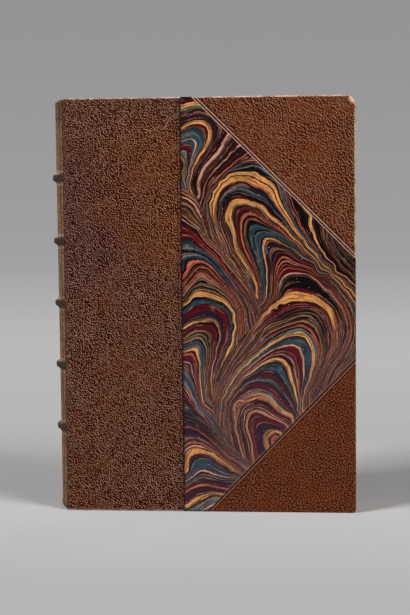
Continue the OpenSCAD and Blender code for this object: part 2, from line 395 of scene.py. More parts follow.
# Lines of the pattern in millimetres from the joint and the tail: each has the height at which it
# would cross the middle of its own plume, and points that it passes through.
MIDDLE = [
    (219.0, [(144.3, 149.1), (145.7, 144.2), (149.2, 138.5), (155.6, 132.1)]),
    (207.2, [(139.3, 154.8), (140.0, 149.1), (142.2, 143.6), (145.7, 137.8), (151.4, 131.4),
        (156.3, 126.4)]),
    (196.5, [(132.3, 160.6), (132.6, 154.9), (134.4, 150.6), (136.5, 145.7), (140.0, 140.0),
        (145.7, 133.6), (152.1, 127.1), (156.3, 122.9)]),
    (190.0, [(118.8, 174.8), (120.2, 169.1), (123.1, 162.0), (126.6, 154.2), (130.8, 147.8),
        (135.8, 141.4), (142.2, 134.3), (149.9, 126.5)]),
    (189.0, [(106.0, 187.7), (100.3, 188.4), (94.6, 187.1), (90.0, 185.3), (86.0, 182.2), (81.0, 176.5),
        (78.3, 170.8), (76.9, 163.3), (78.5, 153.6), (82.3, 145.4)]),
    (184.4, [(80.9, 152.3), (80.5, 156.6), (78.6, 162.3), (78.4, 167.3), (80.2, 173.7), (83.8, 178.7),
        (88.8, 183.3), (93.1, 184.2), (98.9, 184.2), (103.8, 184.5), (106.0, 182.7), (110.3, 179.8),
        (114.5, 176.3), (115.6, 172.0), (117.4, 167.0), (120.9, 160.6), (124.4, 154.2), (128.0, 149.2),
        (131.5, 144.2), (137.2, 137.1), (144.3, 129.3), (151.4, 122.9), (156.3, 118.0)]),
    (178.2, [(82.4, 158.9), (82.4, 165.1), (83.8, 171.5), (87.4, 175.8), (91.6, 177.8), (97.4, 178.9),
        (101.0, 177.1), (106.0, 174.9), (110.2, 172.1), (113.1, 167.0), (116.6, 162.1), (120.9, 156.3),
        (125.1, 150.7), (128.7, 147.1), (134.4, 140.0), (140.8, 132.2), (149.2, 125.1), (155.6, 117.2)]),
    (169.9, [(103.7, 116.6), (103.0, 123.0), (100.8, 128.1), (97.3, 133.7), (93.0, 140.2), (91.6, 144.4),
        (90.9, 149.4), (88.8, 155.1), (86.6, 158.7), (87.0, 162.3), (88.8, 166.5), (91.0, 169.3),
        (96.0, 169.7), (100.3, 168.5), (104.5, 167.1), (108.1, 165.0), (111.6, 160.7), (116.6, 157.1),
        (121.6, 151.4), (125.8, 147.1), (131.5, 140.7), (138.6, 132.2), (145.7, 126.5), (152.8, 119.4)]),
    (166.1, [(104.8, 115.1), (104.4, 121.6), (102.3, 128.1), (98.7, 134.4), (94.5, 141.6), (93.0, 148.1),
        (91.6, 155.1), (90.9, 160.1), (91.3, 163.7), (93.8, 165.9), (98.8, 166.4), (104.5, 165.0),
        (107.3, 162.1), (110.2, 159.3), (116.6, 155.0), (121.6, 149.2), (124.4, 147.1)]),
    (156.7, [(106.1, 119.4), (105.9, 126.6), (104.4, 133.7), (102.3, 139.4), (100.2, 145.9),
        (99.5, 150.8), (100.3, 154.4), (103.1, 156.0), (105.9, 155.3), (110.2, 153.6), (114.5, 151.4),
        (119.5, 148.5), (124.4, 145.0)]),
    (148.3, [(109.4, 125.4), (109.4, 131.6), (108.3, 137.2), (107.3, 142.2), (107.7, 145.9),
        (109.4, 148.1), (113.1, 147.9), (116.6, 145.8), (120.9, 143.6), (124.4, 141.5), (128.7, 137.9),
        (135.1, 134.4), (142.2, 128.6)]),
    (137.8, [(113.0, 121.1), (113.3, 126.5), (114.4, 132.9), (116.6, 136.7), (118.6, 137.9),
        (121.6, 136.6), (125.8, 134.3), (131.5, 132.8), (135.8, 128.6), (140.6, 125.1), (145.7, 120.8),
        (149.2, 115.1), (151.0, 112.7), (154.0, 103.8), (154.4, 97.6), (152.4, 90.3)]),
    (128.1, [(109.9, 111.3), (114.4, 115.1), (115.9, 119.4), (117.3, 123.7), (121.5, 127.2),
        (126.6, 128.0), (131.5, 127.2), (135.8, 124.4), (140.0, 120.1), (143.5, 116.7), (148.0, 111.3),
        (151.0, 103.8), (151.8, 97.6), (149.5, 90.9), (145.4, 83.3)]),
    (119.7, [(104.5, 103.8), (107.2, 108.1), (110.2, 111.3), (114.8, 114.6), (119.4, 117.8),
        (123.4, 119.4), (126.6, 119.6), (131.5, 118.3), (136.3, 116.7), (140.5, 113.5), (144.3, 110.4),
        (146.5, 105.1), (147.6, 98.4), (146.5, 91.9), (143.3, 84.4), (139.0, 76.3)]),
    (114.1, [(81.8, 62.6), (83.2, 67.6), (85.9, 73.3), (89.4, 79.4), (94.7, 86.6), (101.7, 97.6),
        (106.6, 103.4), (110.4, 107.3), (114.8, 109.7), (118.5, 112.7), (123.9, 114.2), (128.4, 114.2),
        (135.3, 113.5), (139.8, 110.5), (142.8, 106.7), (144.3, 101.4), (145.0, 95.3), (144.3, 89.2),
        (141.1, 83.3), (137.4, 74.9), (132.0, 64.4)]),
    (101.4, [(83.4, 60.4), (85.6, 65.8), (88.6, 71.8), (92.5, 77.5), (99.0, 84.9), (106.6, 91.6),
        (113.1, 96.3), (118.0, 99.0), (123.1, 100.6), (126.9, 101.7), (130.7, 100.2), (134.4, 96.1),
        (136.7, 91.6), (137.1, 85.5), (136.0, 79.5), (133.6, 72.0), (130.3, 64.4)]),
    (96.2, [(84.5, 57.2), (86.7, 63.7), (89.7, 69.4), (93.5, 74.8), (99.1, 80.6), (103.9, 85.1),
        (108.7, 88.9), (115.5, 93.3), (119.3, 95.3), (124.6, 96.4), (129.8, 95.3), (132.9, 90.8),
        (134.0, 85.5), (133.6, 79.5), (131.4, 70.3), (128.3, 59.7)]),
    (90.0, [(85.0, 50.6), (86.1, 57.2), (88.6, 63.7), (92.4, 70.2), (98.4, 77.3), (106.6, 84.2),
        (112.4, 87.8), (117.0, 89.2), (122.3, 90.0), (126.1, 88.5), (128.0, 84.7), (128.4, 79.5),
        (128.4, 71.9), (127.6, 64.4), (126.0, 56.3)]),
    (83.0, [(86.6, 44.1), (85.6, 50.6), (86.7, 58.2), (90.2, 65.6), (95.2, 71.8), (101.4, 76.7),
        (104.7, 79.2), (108.6, 81.6), (113.2, 83.0), (117.8, 81.6), (120.8, 77.9), (122.3, 71.9),
        (124.6, 64.4), (126.0, 56.8)]),
    (71.3, [(90.7, 35.5), (88.7, 44.1), (87.6, 52.0), (88.2, 56.9), (90.0, 61.1), (93.6, 65.4),
        (97.9, 69.4), (102.5, 71.3), (108.6, 71.6), (114.7, 68.8), (118.5, 64.3), (122.2, 59.0),
        (124.9, 54.1)]),
    (62.6, [(96.1, 33.3), (94.0, 41.5), (92.6, 48.9), (93.4, 55.0), (96.4, 59.5), (101.0, 61.6),
        (107.1, 62.7), (110.9, 61.1), (114.7, 57.3), (119.2, 53.6), (123.0, 49.8)]),
    (55.6, [(100.2, 36.7), (97.9, 44.4), (97.9, 50.4), (100.2, 54.2), (104.0, 55.6), (108.6, 53.5),
        (114.6, 50.5), (120.0, 47.6)]),
    (43.7, [(108.9, 36.8), (109.3, 41.3), (112.3, 43.8), (116.2, 43.3)]),
]

LEFT = [
    (172.8, [(62.6, 173.1), (66.6, 171.5), (70.2, 168.7), (72.6, 165.5)]),
    (163.7, [(62.6, 163.9), (66.5, 162.4), (69.4, 158.8), (73.0, 155.2), (76.6, 149.5), (81.6, 144.5),
        (85.8, 139.5), (92.3, 131.6), (98.7, 124.4), (102.9, 116.6)]),
    (157.2, [(63.6, 158.1), (67.2, 155.6), (71.5, 152.9), (74.4, 148.8), (77.3, 145.2), (83.7, 139.5),
        (90.1, 130.9), (97.2, 122.3), (101.5, 115.2)]),
    (147.2, [(63.6, 147.4), (67.9, 147.4), (71.4, 144.5), (75.8, 141.7), (81.5, 136.6), (87.3, 129.5),
        (93.7, 120.9), (98.7, 114.6)]),
    (136.2, [(65.2, 130.9), (65.7, 134.5), (68.6, 136.3), (74.4, 136.3), (78.6, 133.8), (81.5, 130.9),
        (87.3, 124.5), (92.9, 117.3), (96.3, 111.4)]),
    (126.5, [(64.2, 117.4), (68.5, 123.1), (72.9, 126.3), (77.9, 124.5), (83.7, 121.7), (88.7, 117.3),
        (92.5, 111.4), (94.2, 103.8)]),
    (123.0, [(65.3, 115.7), (69.3, 121.4), (74.3, 123.1), (81.5, 120.9), (87.1, 116.8), (90.9, 111.4),
        (93.1, 104.9), (93.1, 97.3)]),
    (116.5, [(64.4, 112.0), (68.3, 115.5), (73.7, 116.8), (81.3, 115.2), (88.2, 111.6), (91.2, 107.5),
        (92.0, 100.6), (90.3, 93.0), (87.3, 87.0)]),
    (112.7, [(65.2, 108.2), (71.3, 112.6), (79.0, 112.6), (85.9, 109.0), (88.2, 103.8), (88.5, 96.0),
        (85.8, 88.6)]),
    (109.2, [(65.2, 105.2), (71.3, 109.0), (78.9, 109.5), (84.4, 106.0), (86.2, 99.1), (85.0, 90.8),
        (82.1, 82.1)]),
    (103.8, [(64.4, 99.8), (69.0, 102.5), (75.9, 103.6), (81.3, 102.9), (83.2, 99.1), (83.1, 92.3),
        (81.2, 83.2), (78.8, 74.0)]),
    (98.4, [(64.4, 94.6), (68.2, 97.2), (74.4, 98.4), (78.2, 96.8), (78.6, 92.2), (78.5, 85.4),
        (77.8, 79.4), (76.6, 71.2)]),
    (93.8, [(64.4, 92.2), (69.7, 93.8), (74.4, 92.2), (76.3, 87.0), (76.2, 79.4), (75.5, 68.5)]),
    (88.6, [(64.4, 87.3), (68.2, 88.6), (71.2, 88.4), (72.0, 84.6), (72.8, 77.7), (73.1, 70.1),
        (74.4, 60.4)]),
    (85.9, [(65.1, 85.6), (68.5, 85.9), (70.1, 83.2), (71.6, 75.6), (72.3, 68.0)]),
    (81.6, [(64.3, 81.5), (67.4, 80.8), (68.9, 74.7), (71.2, 65.6), (73.3, 57.9)]),
    (69.7, [(64.3, 69.4), (67.3, 65.2), (70.4, 59.3), (74.4, 53.3)]),
    (64.3, [(64.3, 63.6), (67.3, 59.2), (71.7, 53.8)]),
]

TOP = [
    (222.2, [(62.5, 221.9), (67.4, 222.9), (71.7, 223.2)]),
    (220.1, [(62.8, 219.5), (66.8, 220.5), (71.1, 221.0)]),
    (217.2, [(62.8, 216.3), (67.3, 217.7), (73.2, 218.3), (78.2, 216.1), (83.1, 213.3), (86.3, 209.3),
        (85.1, 203.5), (82.1, 198.3), (77.3, 191.8), (73.5, 187.8), (71.2, 184.1), (69.7, 180.1)]),
    (213.7, [(62.4, 212.3), (67.3, 213.0), (71.7, 213.9), (76.8, 213.7), (80.6, 209.9), (81.2, 205.0),
        (79.7, 199.7), (76.5, 194.4), (72.7, 189.2), (70.2, 184.9), (68.3, 179.0)]),
    (211.8, [(62.7, 208.7), (66.7, 211.2), (71.7, 212.2), (77.5, 211.0), (80.0, 207.1), (79.5, 202.1),
        (77.4, 197.9), (73.8, 193.0), (70.2, 187.3), (68.4, 180.9), (67.7, 176.6)]),
    (209.1, [(62.7, 206.9), (67.4, 209.4), (72.4, 209.7), (76.4, 208.6), (77.8, 205.0), (77.1, 200.8),
        (74.6, 195.8), (70.9, 190.1), (68.4, 183.8)]),
    (207.0, [(62.7, 205.9), (67.4, 207.6), (71.7, 207.2), (74.9, 205.0), (75.7, 201.5), (73.8, 196.5),
        (71.0, 192.3), (68.0, 185.9)]),
    (201.9, [(63.1, 201.6), (67.4, 203.0), (71.0, 201.5), (71.4, 198.0), (69.5, 193.0), (68.1, 188.0)]),
    (198.9, [(63.1, 198.7), (66.7, 199.5), (68.8, 197.3), (68.1, 192.3), (67.0, 186.6)]),
    (195.4, [(63.4, 195.0), (64.9, 195.5), (65.6, 192.3), (66.0, 183.9)]),
    (193.0, [(63.1, 192.5), (63.7, 183.9), (65.6, 176.0)]),
]

FOOT = [
    (45.3, [(64.2, 45.6), (71.1, 44.2), (75.7, 41.1), (81.1, 36.6), (87.2, 31.3), (92.3, 27.5)]),
    (37.7, [(64.9, 36.5), (69.4, 37.8), (74.9, 36.5), (80.3, 33.5), (86.3, 29.0), (93.3, 23.7)]),
    (34.2, [(64.9, 28.7), (66.1, 32.8), (68.8, 33.9), (74.9, 33.5), (80.3, 32.1), (84.9, 28.2),
        (90.1, 24.6), (94.8, 20.8)]),
    (31.7, [(65.6, 21.2), (66.4, 27.3), (68.7, 30.9), (74.9, 31.6), (79.5, 30.2), (84.1, 26.4),
        (90.1, 21.9)]),
    (22.8, [(67.2, 18.1), (71.0, 21.3), (74.8, 22.7), (79.5, 20.9), (84.8, 19.4), (91.7, 18.9)]),
    (16.0, [(65.6, 12.9), (71.0, 15.1), (77.2, 15.9), (83.3, 14.4), (88.6, 13.4)]),
    (10.5, [(67.1, 4.4), (72.6, 8.2), (77.9, 10.2), (83.3, 10.2)]),
    (6.7, [(70.9, 2.1), (74.8, 4.4), (78.6, 6.8), (81.7, 7.3)]),
]

FAN = [
    (220.1, [(87.4, 209.0), (86.1, 206.4), (85.1, 203.5), (82.1, 198.3), (77.3, 191.8), (73.5, 187.8),
        (71.2, 184.1), (69.6, 180.5), (69.1, 177.4)]),
    (217.4, [(88.7, 204.5), (86.5, 200.9), (84.3, 196.9), (81.0, 192.1), (76.1, 186.7), (73.9, 182.6),
        (72.7, 176.8), (73.1, 172.0)]),
    (212.6, [(94.6, 198.2), (90.9, 195.0), (85.4, 189.5), (79.8, 183.7), (76.8, 179.6), (75.3, 174.8),
        (74.2, 169.2)]),
    (209.4, [(98.7, 194.5), (94.6, 190.9), (89.5, 187.2), (85.0, 183.6), (80.5, 178.9), (77.9, 174.8),
        (76.2, 170.3), (75.0, 165.5)]),
    (207.2, [(101.4, 192.2), (96.6, 189.5), (91.7, 186.6), (86.8, 182.9), (82.4, 178.4), (79.2, 173.5),
        (77.2, 168.7), (75.5, 162.8)]),
]

VALLEY = [(90.7, 215.9), (87.4, 209.5), (86.1, 206.4), (85.1, 203.5), (82.1, 198.3), (77.3, 191.8),
    (73.5, 187.8), (71.2, 184.1), (69.6, 180.5), (69.0, 177.4), (69.9, 174.1), (71.9, 169.8),
    (73.5, 165.2), (73.9, 161.1), (77.3, 148.8), (83.7, 141.7), (88.7, 134.4), (95.1, 126.6),
    (101.6, 119.5), (105.0, 114.0), (106.1, 109.7), (104.5, 104.9), (101.1, 100.0), (94.1, 93.0),
    (89.6, 87.0), (85.0, 80.1), (81.9, 73.2), (80.4, 65.6), (80.0, 57.9), (81.1, 50.3), (84.9, 43.6),
    (90.2, 36.6), (95.6, 29.8), (100.1, 26.1), (110.8, 17.1), (121.6, 6.4)]
UPPER_EDGE = [(56.8, 177.5), (66.1, 174.4), (69.9, 170.9), (73.7, 164.4)]
LOWER_EDGE = [(56.4, 64.6), (64.3, 59.2), (68.8, 52.7), (74.9, 48.9), (81.1, 43.5), (84.7, 38.1),
    (91.8, 31.3), (97.2, 26.8)]
FAN_EDGE = [(111.2, 199.1), (106.8, 195.6), (101.4, 192.2), (96.6, 189.5), (91.7, 186.6), (86.8, 182.9),
    (82.4, 178.4), (79.2, 173.5), (77.2, 168.7), (75.3, 162.2), (73.1, 156.8)]

PLUMES = (MIDDLE, LEFT, TOP, FOOT, FAN)
PLATE_UNIT = 10.0
PLATE_SLACK = 0.6

# The pattern begins here, from the joint, and on the back cover it is turned end for end
PATTERN_X = 62.0


def plate(a, b):
    """The thin plate's bend between two sets of points."""
    square = ((a[:, None, :] - b[None, :, :]) ** 2).sum(2) / PLATE_UNIT ** 2
    return 50.0 * square * np.log(square + 1e-9)


def spline_fit(lines):
    """Thin-plate spline through the points of the lines, which gives a height everywhere."""
    points = np.array([p for _, line in lines for p in line], float)
    heights = np.array([h for h, line in lines for _ in line], float)
    count = len(points)
    system = np.zeros((count + 3, count + 3))
    system[:count, :count] = plate(points, points) + PLATE_SLACK * np.eye(count)
    flat = np.hstack([np.ones((count, 1)), points])
    system[:count, count:] = flat
    system[count:, :count] = flat.T
    return points, np.linalg.solve(system, np.concatenate([heights, np.zeros(3)]))


def spline_at(fit, where):
    points, weights = fit
    out = np.zeros(len(where))
    chunk = 4000
    for i in range(0, len(where), chunk):
        part = where[i:i + chunk]
        out[i:i + chunk] = plate(part, points) @ weights[:-3] + weights[-3] + part @ weights[-2:]
    return out


def along(curve, values, axis):
    """A curve as one coordinate at given values of the other; axis 0 gives x at z."""
    points = sorted(curve, key=lambda p: p[1 - axis])
    return np.interp(values, [p[1 - axis] for p in points], [p[axis] for p in points])


def plume_number(x, z):
    """Which of the PLUMES each point lies in."""
    valley = along(VALLEY, z, 0)
    left = np.where(z > along(UPPER_EDGE, x, 1), 2, np.where(z < along(LOWER_EDGE, x, 1), 3, 1))
    in_fan = (z > 150.0) & (x < along(FAN_EDGE, z, 0))
    return np.where(x > valley, np.where(in_fan, 4, 0), left)


def rise(values, start, span):
    """From 0 at start to 1 a span further on; a negative span runs downwards."""
    return np.clip((values - start) / span, 0, 1)


def drawn_share(x, z, height, plume):
    """How far the limbs of the plumes are drawn out into threads, from 0 to 1."""
    middle = plume == 0
    mouth = np.clip(1.6 * np.exp(-(((x - 96.0) / 16.0) ** 2 + ((z - 42.0) / 18.0) ** 2)), 0, 1)
    ring = 6.0 - np.abs(height - 62.0)
    return np.maximum.reduce([
        (middle & (x < 100.0)) * rise(z, 168.0, -12.0) * rise(height, 169.5, 1.5),
        (middle & (height < 122.0)) * rise(x, 113.0, -12.0) * rise(height, 99.0, 3.0) * rise(z, 116.0, -8.0),
        (plume == 1) * rise(z, 132.0, -14.0) * rise(height, 136.0, 1.5),
        middle * mouth * rise(height, 62.0, 6.0),
        ~middle * mouth * rise(x, 78.0, 14.0),
        (middle & (x > 132.0)) * rise(z, 108.0, -9.0) * rise(height, 112.0, 3.0),
        (middle & (z < 66.0)) * 0.9 * rise(x, 103.0, -7.0) * rise(ring, 0.0, 2.0),
    ])


def marble_field(where):
    """Height on the pattern, plume number and how far a plume's limb is drawn out into threads."""
    x, z = where[:, 0], where[:, 1]
    plume = plume_number(x, z)
    height = np.zeros(len(where))
    for number, lines in enumerate(PLUMES):
        chosen = plume == number
        height[chosen] = spline_at(spline_fit(lines), where[chosen])
    return height, plume, drawn_share(x, z, height, plume)


def paper_piece(side):
    """The marbled paper of one cover, with its pattern's field on its points."""
    bm = cover_skin(SIDES[side], PAPER_Y, 0.8)
    for line in LINES.values():
        line.cut(bm, 0.0, keep=-1)
    face_outwards(bm, SIDES[side])
    obj = thicken(make_object(f"{side}_marbled_paper_sheet", bm), PAPER_T)
    flat = points_mm(obj.data)[:, [0, 2]]
    where = flat - [JOINT_X, 0.0]
    if side == "back":
        where = [PATTERN_X + COVER_W, BOOK_H] - where
    height, plume, drawn = marble_field(where)
    layers = {"height_mm": height, "plume": plume, "drawn": drawn}
    for kind, line in LINES.items():
        layers["to_" + kind] = (flat - np.array(line.a)) @ np.array(line.n)
    for name, values in layers.items():
        layer = obj.data.attributes.new(name, "FLOAT", "POINT")
        layer.data.foreach_set("value", np.asarray(values, np.float32))
    return obj


# Shapes of the spine and the text block


def spine_rise(z):
    """The spine leans: it stands out further at the head than at the tail."""
    return RISE_TAIL + (RISE_HEAD - RISE_TAIL) * min(max(z / BOOK_H, 0.0), 1.0)


def spine_point(t, z, inset, lift_by=0.0):
    """A point of the spine, t from -1 to 1 between the joints, moved in from the leather's surface."""
    rise_here = spine_rise(z)
    radius = (SPINE_HALF_W ** 2 + rise_here ** 2) / (2 * rise_here)
    angle = t * math.asin(min(SPINE_HALF_W / radius, 1.0))
    r = radius - inset + lift_by
    return JOINT_X - rise_here + radius - r * math.cos(angle), r * math.sin(angle)


def band_arch(t):
    """How far a raised band stands out along its length: 1 in the middle, 0 by the joints."""
    return max(0.0, 1.0 - (t / 0.93) ** 2) ** 0.75


def band_lift(t, z):
    """Height of the leather over the raised bands, with shallow fillet lines on both sides."""
    arch = band_arch(t)
    out = 0.0
    for centre in BAND_Z:
        away = abs(z - centre)
        if away < 8:
            crown = max(0.0, 1 - (away / (BAND_HALF + 0.15)) ** 3.5) ** 0.6
            foot = 0.28 * gauss((away - BAND_HALF) / 0.7)
            out += BAND_RISE * arch * max(crown, foot)
            out -= 0.12 * gauss((away - 4.1) / 0.35) * arch
    for line in END_RULES:
        out -= 0.12 * gauss((z - line) / 0.4)
    return out + 0.45 * gauss((z - 2.4) / 1.8) * arch


def spine_heights():
    """Heights of the rows of the spine's leather, close together over the bands."""
    zs = {round(z, 3) for z in spread(CAP_R, BOOK_H - CAP_R, 1.6)
          if all(abs(z - centre) > 5.5 for centre in BAND_Z)}
    for centre in BAND_Z:
        zs.update(round(z, 3) for z in spread(centre - 5.4, centre + 5.4, 0.3))
    return sorted(zs)


def cap_stations():
    """Inset and height of the points of a cap, from its turned-in edge to the face of the spine."""
    stations = [(CAP_DEPTH, 2.6), (CAP_DEPTH, 1.2), (CAP_DEPTH - 0.25, 0.3), (CAP_DEPTH - 0.7, 0.0)]
    for turn in turns(90, 0, -15):
        stations.append((CAP_R * (1 - math.cos(turn)), CAP_R * (1 - math.sin(turn))))
    return stations


def spine_leather_point(t, z, inset):
    """A point of the spine's leather; the caps sink towards the block in their middle."""
    bump = band_lift(t, z) if inset == 0.0 else 0.0
    x, y = spine_point(t, z, inset, bump + 0.06 * flow(t * 20, 7, z, 9.0))
    end = smooth((9.0 - min(z, BOOK_H - z)) / 9.0) * max(0.0, 1.0 - t * t)
    return x, y, z + (CAP_DROOP * end if z < BOOK_H / 2 else -0.3 * CAP_DROOP * end)


def spine_piece():
    """The spine's leather, moulded over the bands and turned in as a cap at each end."""
    stations = cap_stations()
    rows = stations + [(0.0, z) for z in spine_heights()]
    rows += [(inset, BOOK_H - z) for inset, z in reversed(stations)]
    ts = [math.sin(math.pi / 2 * u) * 0.996 for u in spread(-1, 1, 0.036)]
    sheet = Sheet()
    sheet.patch([[spine_leather_point(t, z, inset) for t in ts] for inset, z in rows])
    bm = sheet.bmesh()
    bm.normal_update()
    outermost = min(bm.faces, key=lambda f: f.calc_center_median().x)
    if outermost.normal.x > 0:
        bmesh.ops.reverse_faces(bm, faces=bm.faces[:])
    bm.normal_update()
    return thicken(make_object("spine_leather_skin", bm, SHARP_SPINE), LEATHER_T)


def strip_solid(name, rings):
    """A solid lofted through rings of the same count of points, and closed at both ends."""
    sheet = Sheet()
    sheet.patch([ring + [ring[0]] for ring in rings])
    bm = sheet.bmesh()
    bm.verts.ensure_lookup_table()
    for ring in (rings[0], rings[-1]):
        bm.faces.new([bm.verts[sheet.vertex(p)] for p in ring])
    bmesh.ops.recalc_face_normals(bm, faces=bm.faces[:])
    return make_object(name, bm, SHARP_STRIP)


def block_ring(z):
    """One level of the text block: rounded back, flat sides and hollowed fore-edge."""
    limit = 0.0
    for t in spread(0.5, 1.0, 0.01):
        if spine_point(t, z, BLOCK_INSET)[0] < BLOCK_X:
            limit = t
    fore_c = BLOCK_FORE_X + math.sqrt(BLOCK_FORE_R ** 2 - LEAF_Y ** 2)
    ring = [spine_point(t, z, BLOCK_INSET) for t in spread(-limit, limit, 2 * limit / 40)]
    back_y = ring[0][1]
    ring += [(BLOCK_X, ring[-1][1]), (BLOCK_X, LEAF_Y)]
    ring += [(x, LEAF_Y) for x in spread(BLOCK_X, BLOCK_FORE_X, 12)[1:-1]]
    for y in spread(LEAF_Y, -LEAF_Y, 0.5):
        uneven = 0.06 * flow(3, y, z / 60, 1.3)
        ring.append((fore_c - math.sqrt(BLOCK_FORE_R ** 2 - y * y) + uneven, y))
    ring += [(x, -LEAF_Y) for x in spread(BLOCK_FORE_X, BLOCK_X, 12)[1:-1]]
    ring += [(BLOCK_X, -LEAF_Y), (BLOCK_X, back_y)]
    return [(x, y, z) for x, y in ring]


def block_piece():
    """The text block, whose leaves stand a little uneven at the fore-edge."""
    return strip_solid("text_block_leaves", [block_ring(z) for z in spread(SQUARE, BOOK_H - SQUARE, 3.1)])


def lining_piece():
    """The lining between the block's back and the leather."""
    rings = []
    ts = spread(-0.93, 0.93, 0.0465)
    for z in spread(SQUARE, BOOK_H - SQUARE, 4.0):
        outer = [(*spine_point(t, z, LEATHER_T + 0.02), z) for t in ts]
        inner = [(*spine_point(t, z, BLOCK_INSET - 0.02), z) for t in reversed(ts)]
        rings.append(outer + inner)
    return strip_solid("spine_lining_strip", rings)


def band_core(number):
    """The strip under the leather at one raised band."""
    rings = []
    for t in spread(-0.8, 0.8, 0.04):
        height = max(0.02, BAND_RISE * band_arch(t) - 0.1)
        ring = []
        for a in spread(0, 180, 22.5):
            turn = math.radians(a)
            z = BAND_Z[number] + 1.15 * math.cos(turn)
            ring.append((*spine_point(t, z, LEATHER_T + 0.02, height * math.sin(turn)), z))
        rings.append(ring)
    return strip_solid(f"raised_band_{number + 1}_core", rings)


def headband_piece(name, centre_z):
    """A silk headband: thread wound round a core."""
    rings = []
    for i in range(HEADBAND_STEPS + 1):
        t = -0.66 + 1.32 * i / HEADBAND_STEPS
        r = HEADBAND_R - 0.06 + 0.06 * abs(math.sin(math.pi * i / 2.0))
        ring = []
        for turn in turns(0, 360, 30):
            x, y = spine_point(t, centre_z, BLOCK_INSET + HEADBAND_R, r * math.cos(turn))
            ring.append((x, y, centre_z + r * math.sin(turn)))
        rings.append(ring)
    return strip_solid(name, rings)


# Finishes


def linear(*colour):
    """A colour from 0 to 255, as a picture has it, as the linear colour that a shader wants."""
    out = []
    for c in colour:
        c /= 255.0
        out.append(c / 12.92 if c <= 0.04045 else ((c + 0.055) / 1.055) ** 2.4)
    return (*out, 1.0)


class Graph:
    """Short calls for building the nodes of a material or of the world.

    Tones are colours from 0 to 255. Sizes are in the units of the coordinates.
    """

    def __init__(self, owner, output="OutputMaterial"):
        owner.use_nodes = True
        self.owner = owner
        self.tree = owner.node_tree
        self.tree.nodes.clear()
        self.output = self.node(output)

    def node(self, kind, inputs=None, **settings):
        node = self.tree.nodes.new("ShaderNode" + kind)
        for key, value in settings.items():
            setattr(node, key, value)
        for key, value in (inputs or {}).items():
            self.feed(node.inputs[key], value)
        return node

    def feed(self, socket, value):
        if isinstance(value, bpy.types.NodeSocket):
            self.tree.links.new(value, socket)
        else:
            socket.default_value = value

    def show(self, shader):
        """Make a shader the result, and give back what the nodes belong to."""
        self.feed(self.output.inputs[0], shader.outputs[0])
        return self.owner

    def math(self, operation, a, b=0.0, c=0.0, clamp=False):
        return self.node("Math", {0: a, 1: b, 2: c}, operation=operation, use_clamp=clamp).outputs[0]

    def times(self, a, b):
        return self.math("MULTIPLY", a, b)

    def minus(self, a, b):
        return self.math("SUBTRACT", a, b)

    def off(self, value, centre):
        """How far a value is from a centre, on either side."""
        return self.math("ABSOLUTE", self.minus(value, centre))

    def vmath(self, operation, a, b):
        return self.node("VectorMath", {0: a, 1: b}, operation=operation).outputs[0]

    def scaled(self, vector, factor):
        return self.node("VectorMath", {0: vector, "Scale": factor}, operation="SCALE").outputs[0]

    def length(self, vector):
        return self.node("VectorMath", {0: vector}, operation="LENGTH").outputs["Value"]

    def split(self, vector):
        return self.node("SeparateXYZ", {0: vector}).outputs[:]

    def join(self, x, y, z=0.0):
        return self.node("CombineXYZ", {0: x, 1: y, 2: z}).outputs[0]

    def coords(self):
        """Object coordinates in millimetres."""
        return self.scaled(self.node("TexCoord").outputs["Object"], 1 / MM)

    def rest(self):
        """The place at rest, in millimetres, that keep_rest stored."""
        return self.node("Attribute", attribute_name="rest_mm").outputs["Vector"]

    def attribute(self, name):
        return self.node("Attribute", attribute_name=name).outputs["Fac"]

    def noise(self, vector, size, detail=2.0, rough=0.5, result="Fac"):
        return self.node("TexNoise", {"Vector": vector, "Scale": 1 / size, "Detail": detail,
                                      "Roughness": rough}).outputs[result]

    def warp(self, vector, size, amount):
        """Push coordinates about by smooth noise."""
        shift = self.vmath("SUBTRACT", self.noise(vector, size, 1.0, result="Color"), (0.5, 0.5, 0.5))
        return self.vmath("ADD", vector, self.scaled(shift, amount))

    def colours(self, factor, stops, mode="LINEAR"):
        """A ramp of linear colours."""
        node = self.node("ValToRGB", {0: factor})
        ramp = node.color_ramp
        ramp.interpolation = mode
        ramp.elements.remove(ramp.elements[-1])
        for i, (position, colour) in enumerate(stops):
            element = ramp.elements[0] if i == 0 else ramp.elements.new(position)
            element.position = position
            element.color = colour
        return node.outputs[0]

    def tones(self, factor, stops, mode="LINEAR"):
        return self.colours(factor, [(p, linear(*tone)) for p, tone in stops], mode)

    def greys(self, factor, *stops):
        """A ramp of plain values."""
        return self.colours(factor, [(p, (v, v, v, 1.0)) for p, v in stops])

    def mix(self, factor, a, b, blend="MIX"):
        return self.node("Mix", {0: factor, 6: a, 7: b}, data_type="RGBA", blend_type=blend).outputs[2]

    def tint(self, colour, mask, tone, strength=1.0):
        """Lay a tone over a colour where the mask is 1."""
        if strength < 1.0:
            mask = self.times(mask, strength)
        return self.mix(mask, colour, linear(*tone))

    def range(self, value, low, high, to_low=0.0, to_high=1.0):
        return self.node("MapRange", {0: value, 1: low, 2: high, 3: to_low, 4: to_high},
                         interpolation_type="SMOOTHSTEP").outputs[0]

    def bump(self, height, distance, strength=1.0):
        inputs = {"Height": height, "Distance": distance * MM, "Strength": strength}
        return self.node("Bump", inputs).outputs[0]

    def finish(self, colour, rough, normal, specular, sheen=0.0):
        return self.show(self.node("BsdfPrincipled", {
            "Base Color": colour, "Roughness": rough, "Normal": normal,
            "Specular IOR Level": specular, "Sheen Weight": sheen}))


def material_graph(name):
    return Graph(bpy.data.materials.new(name))
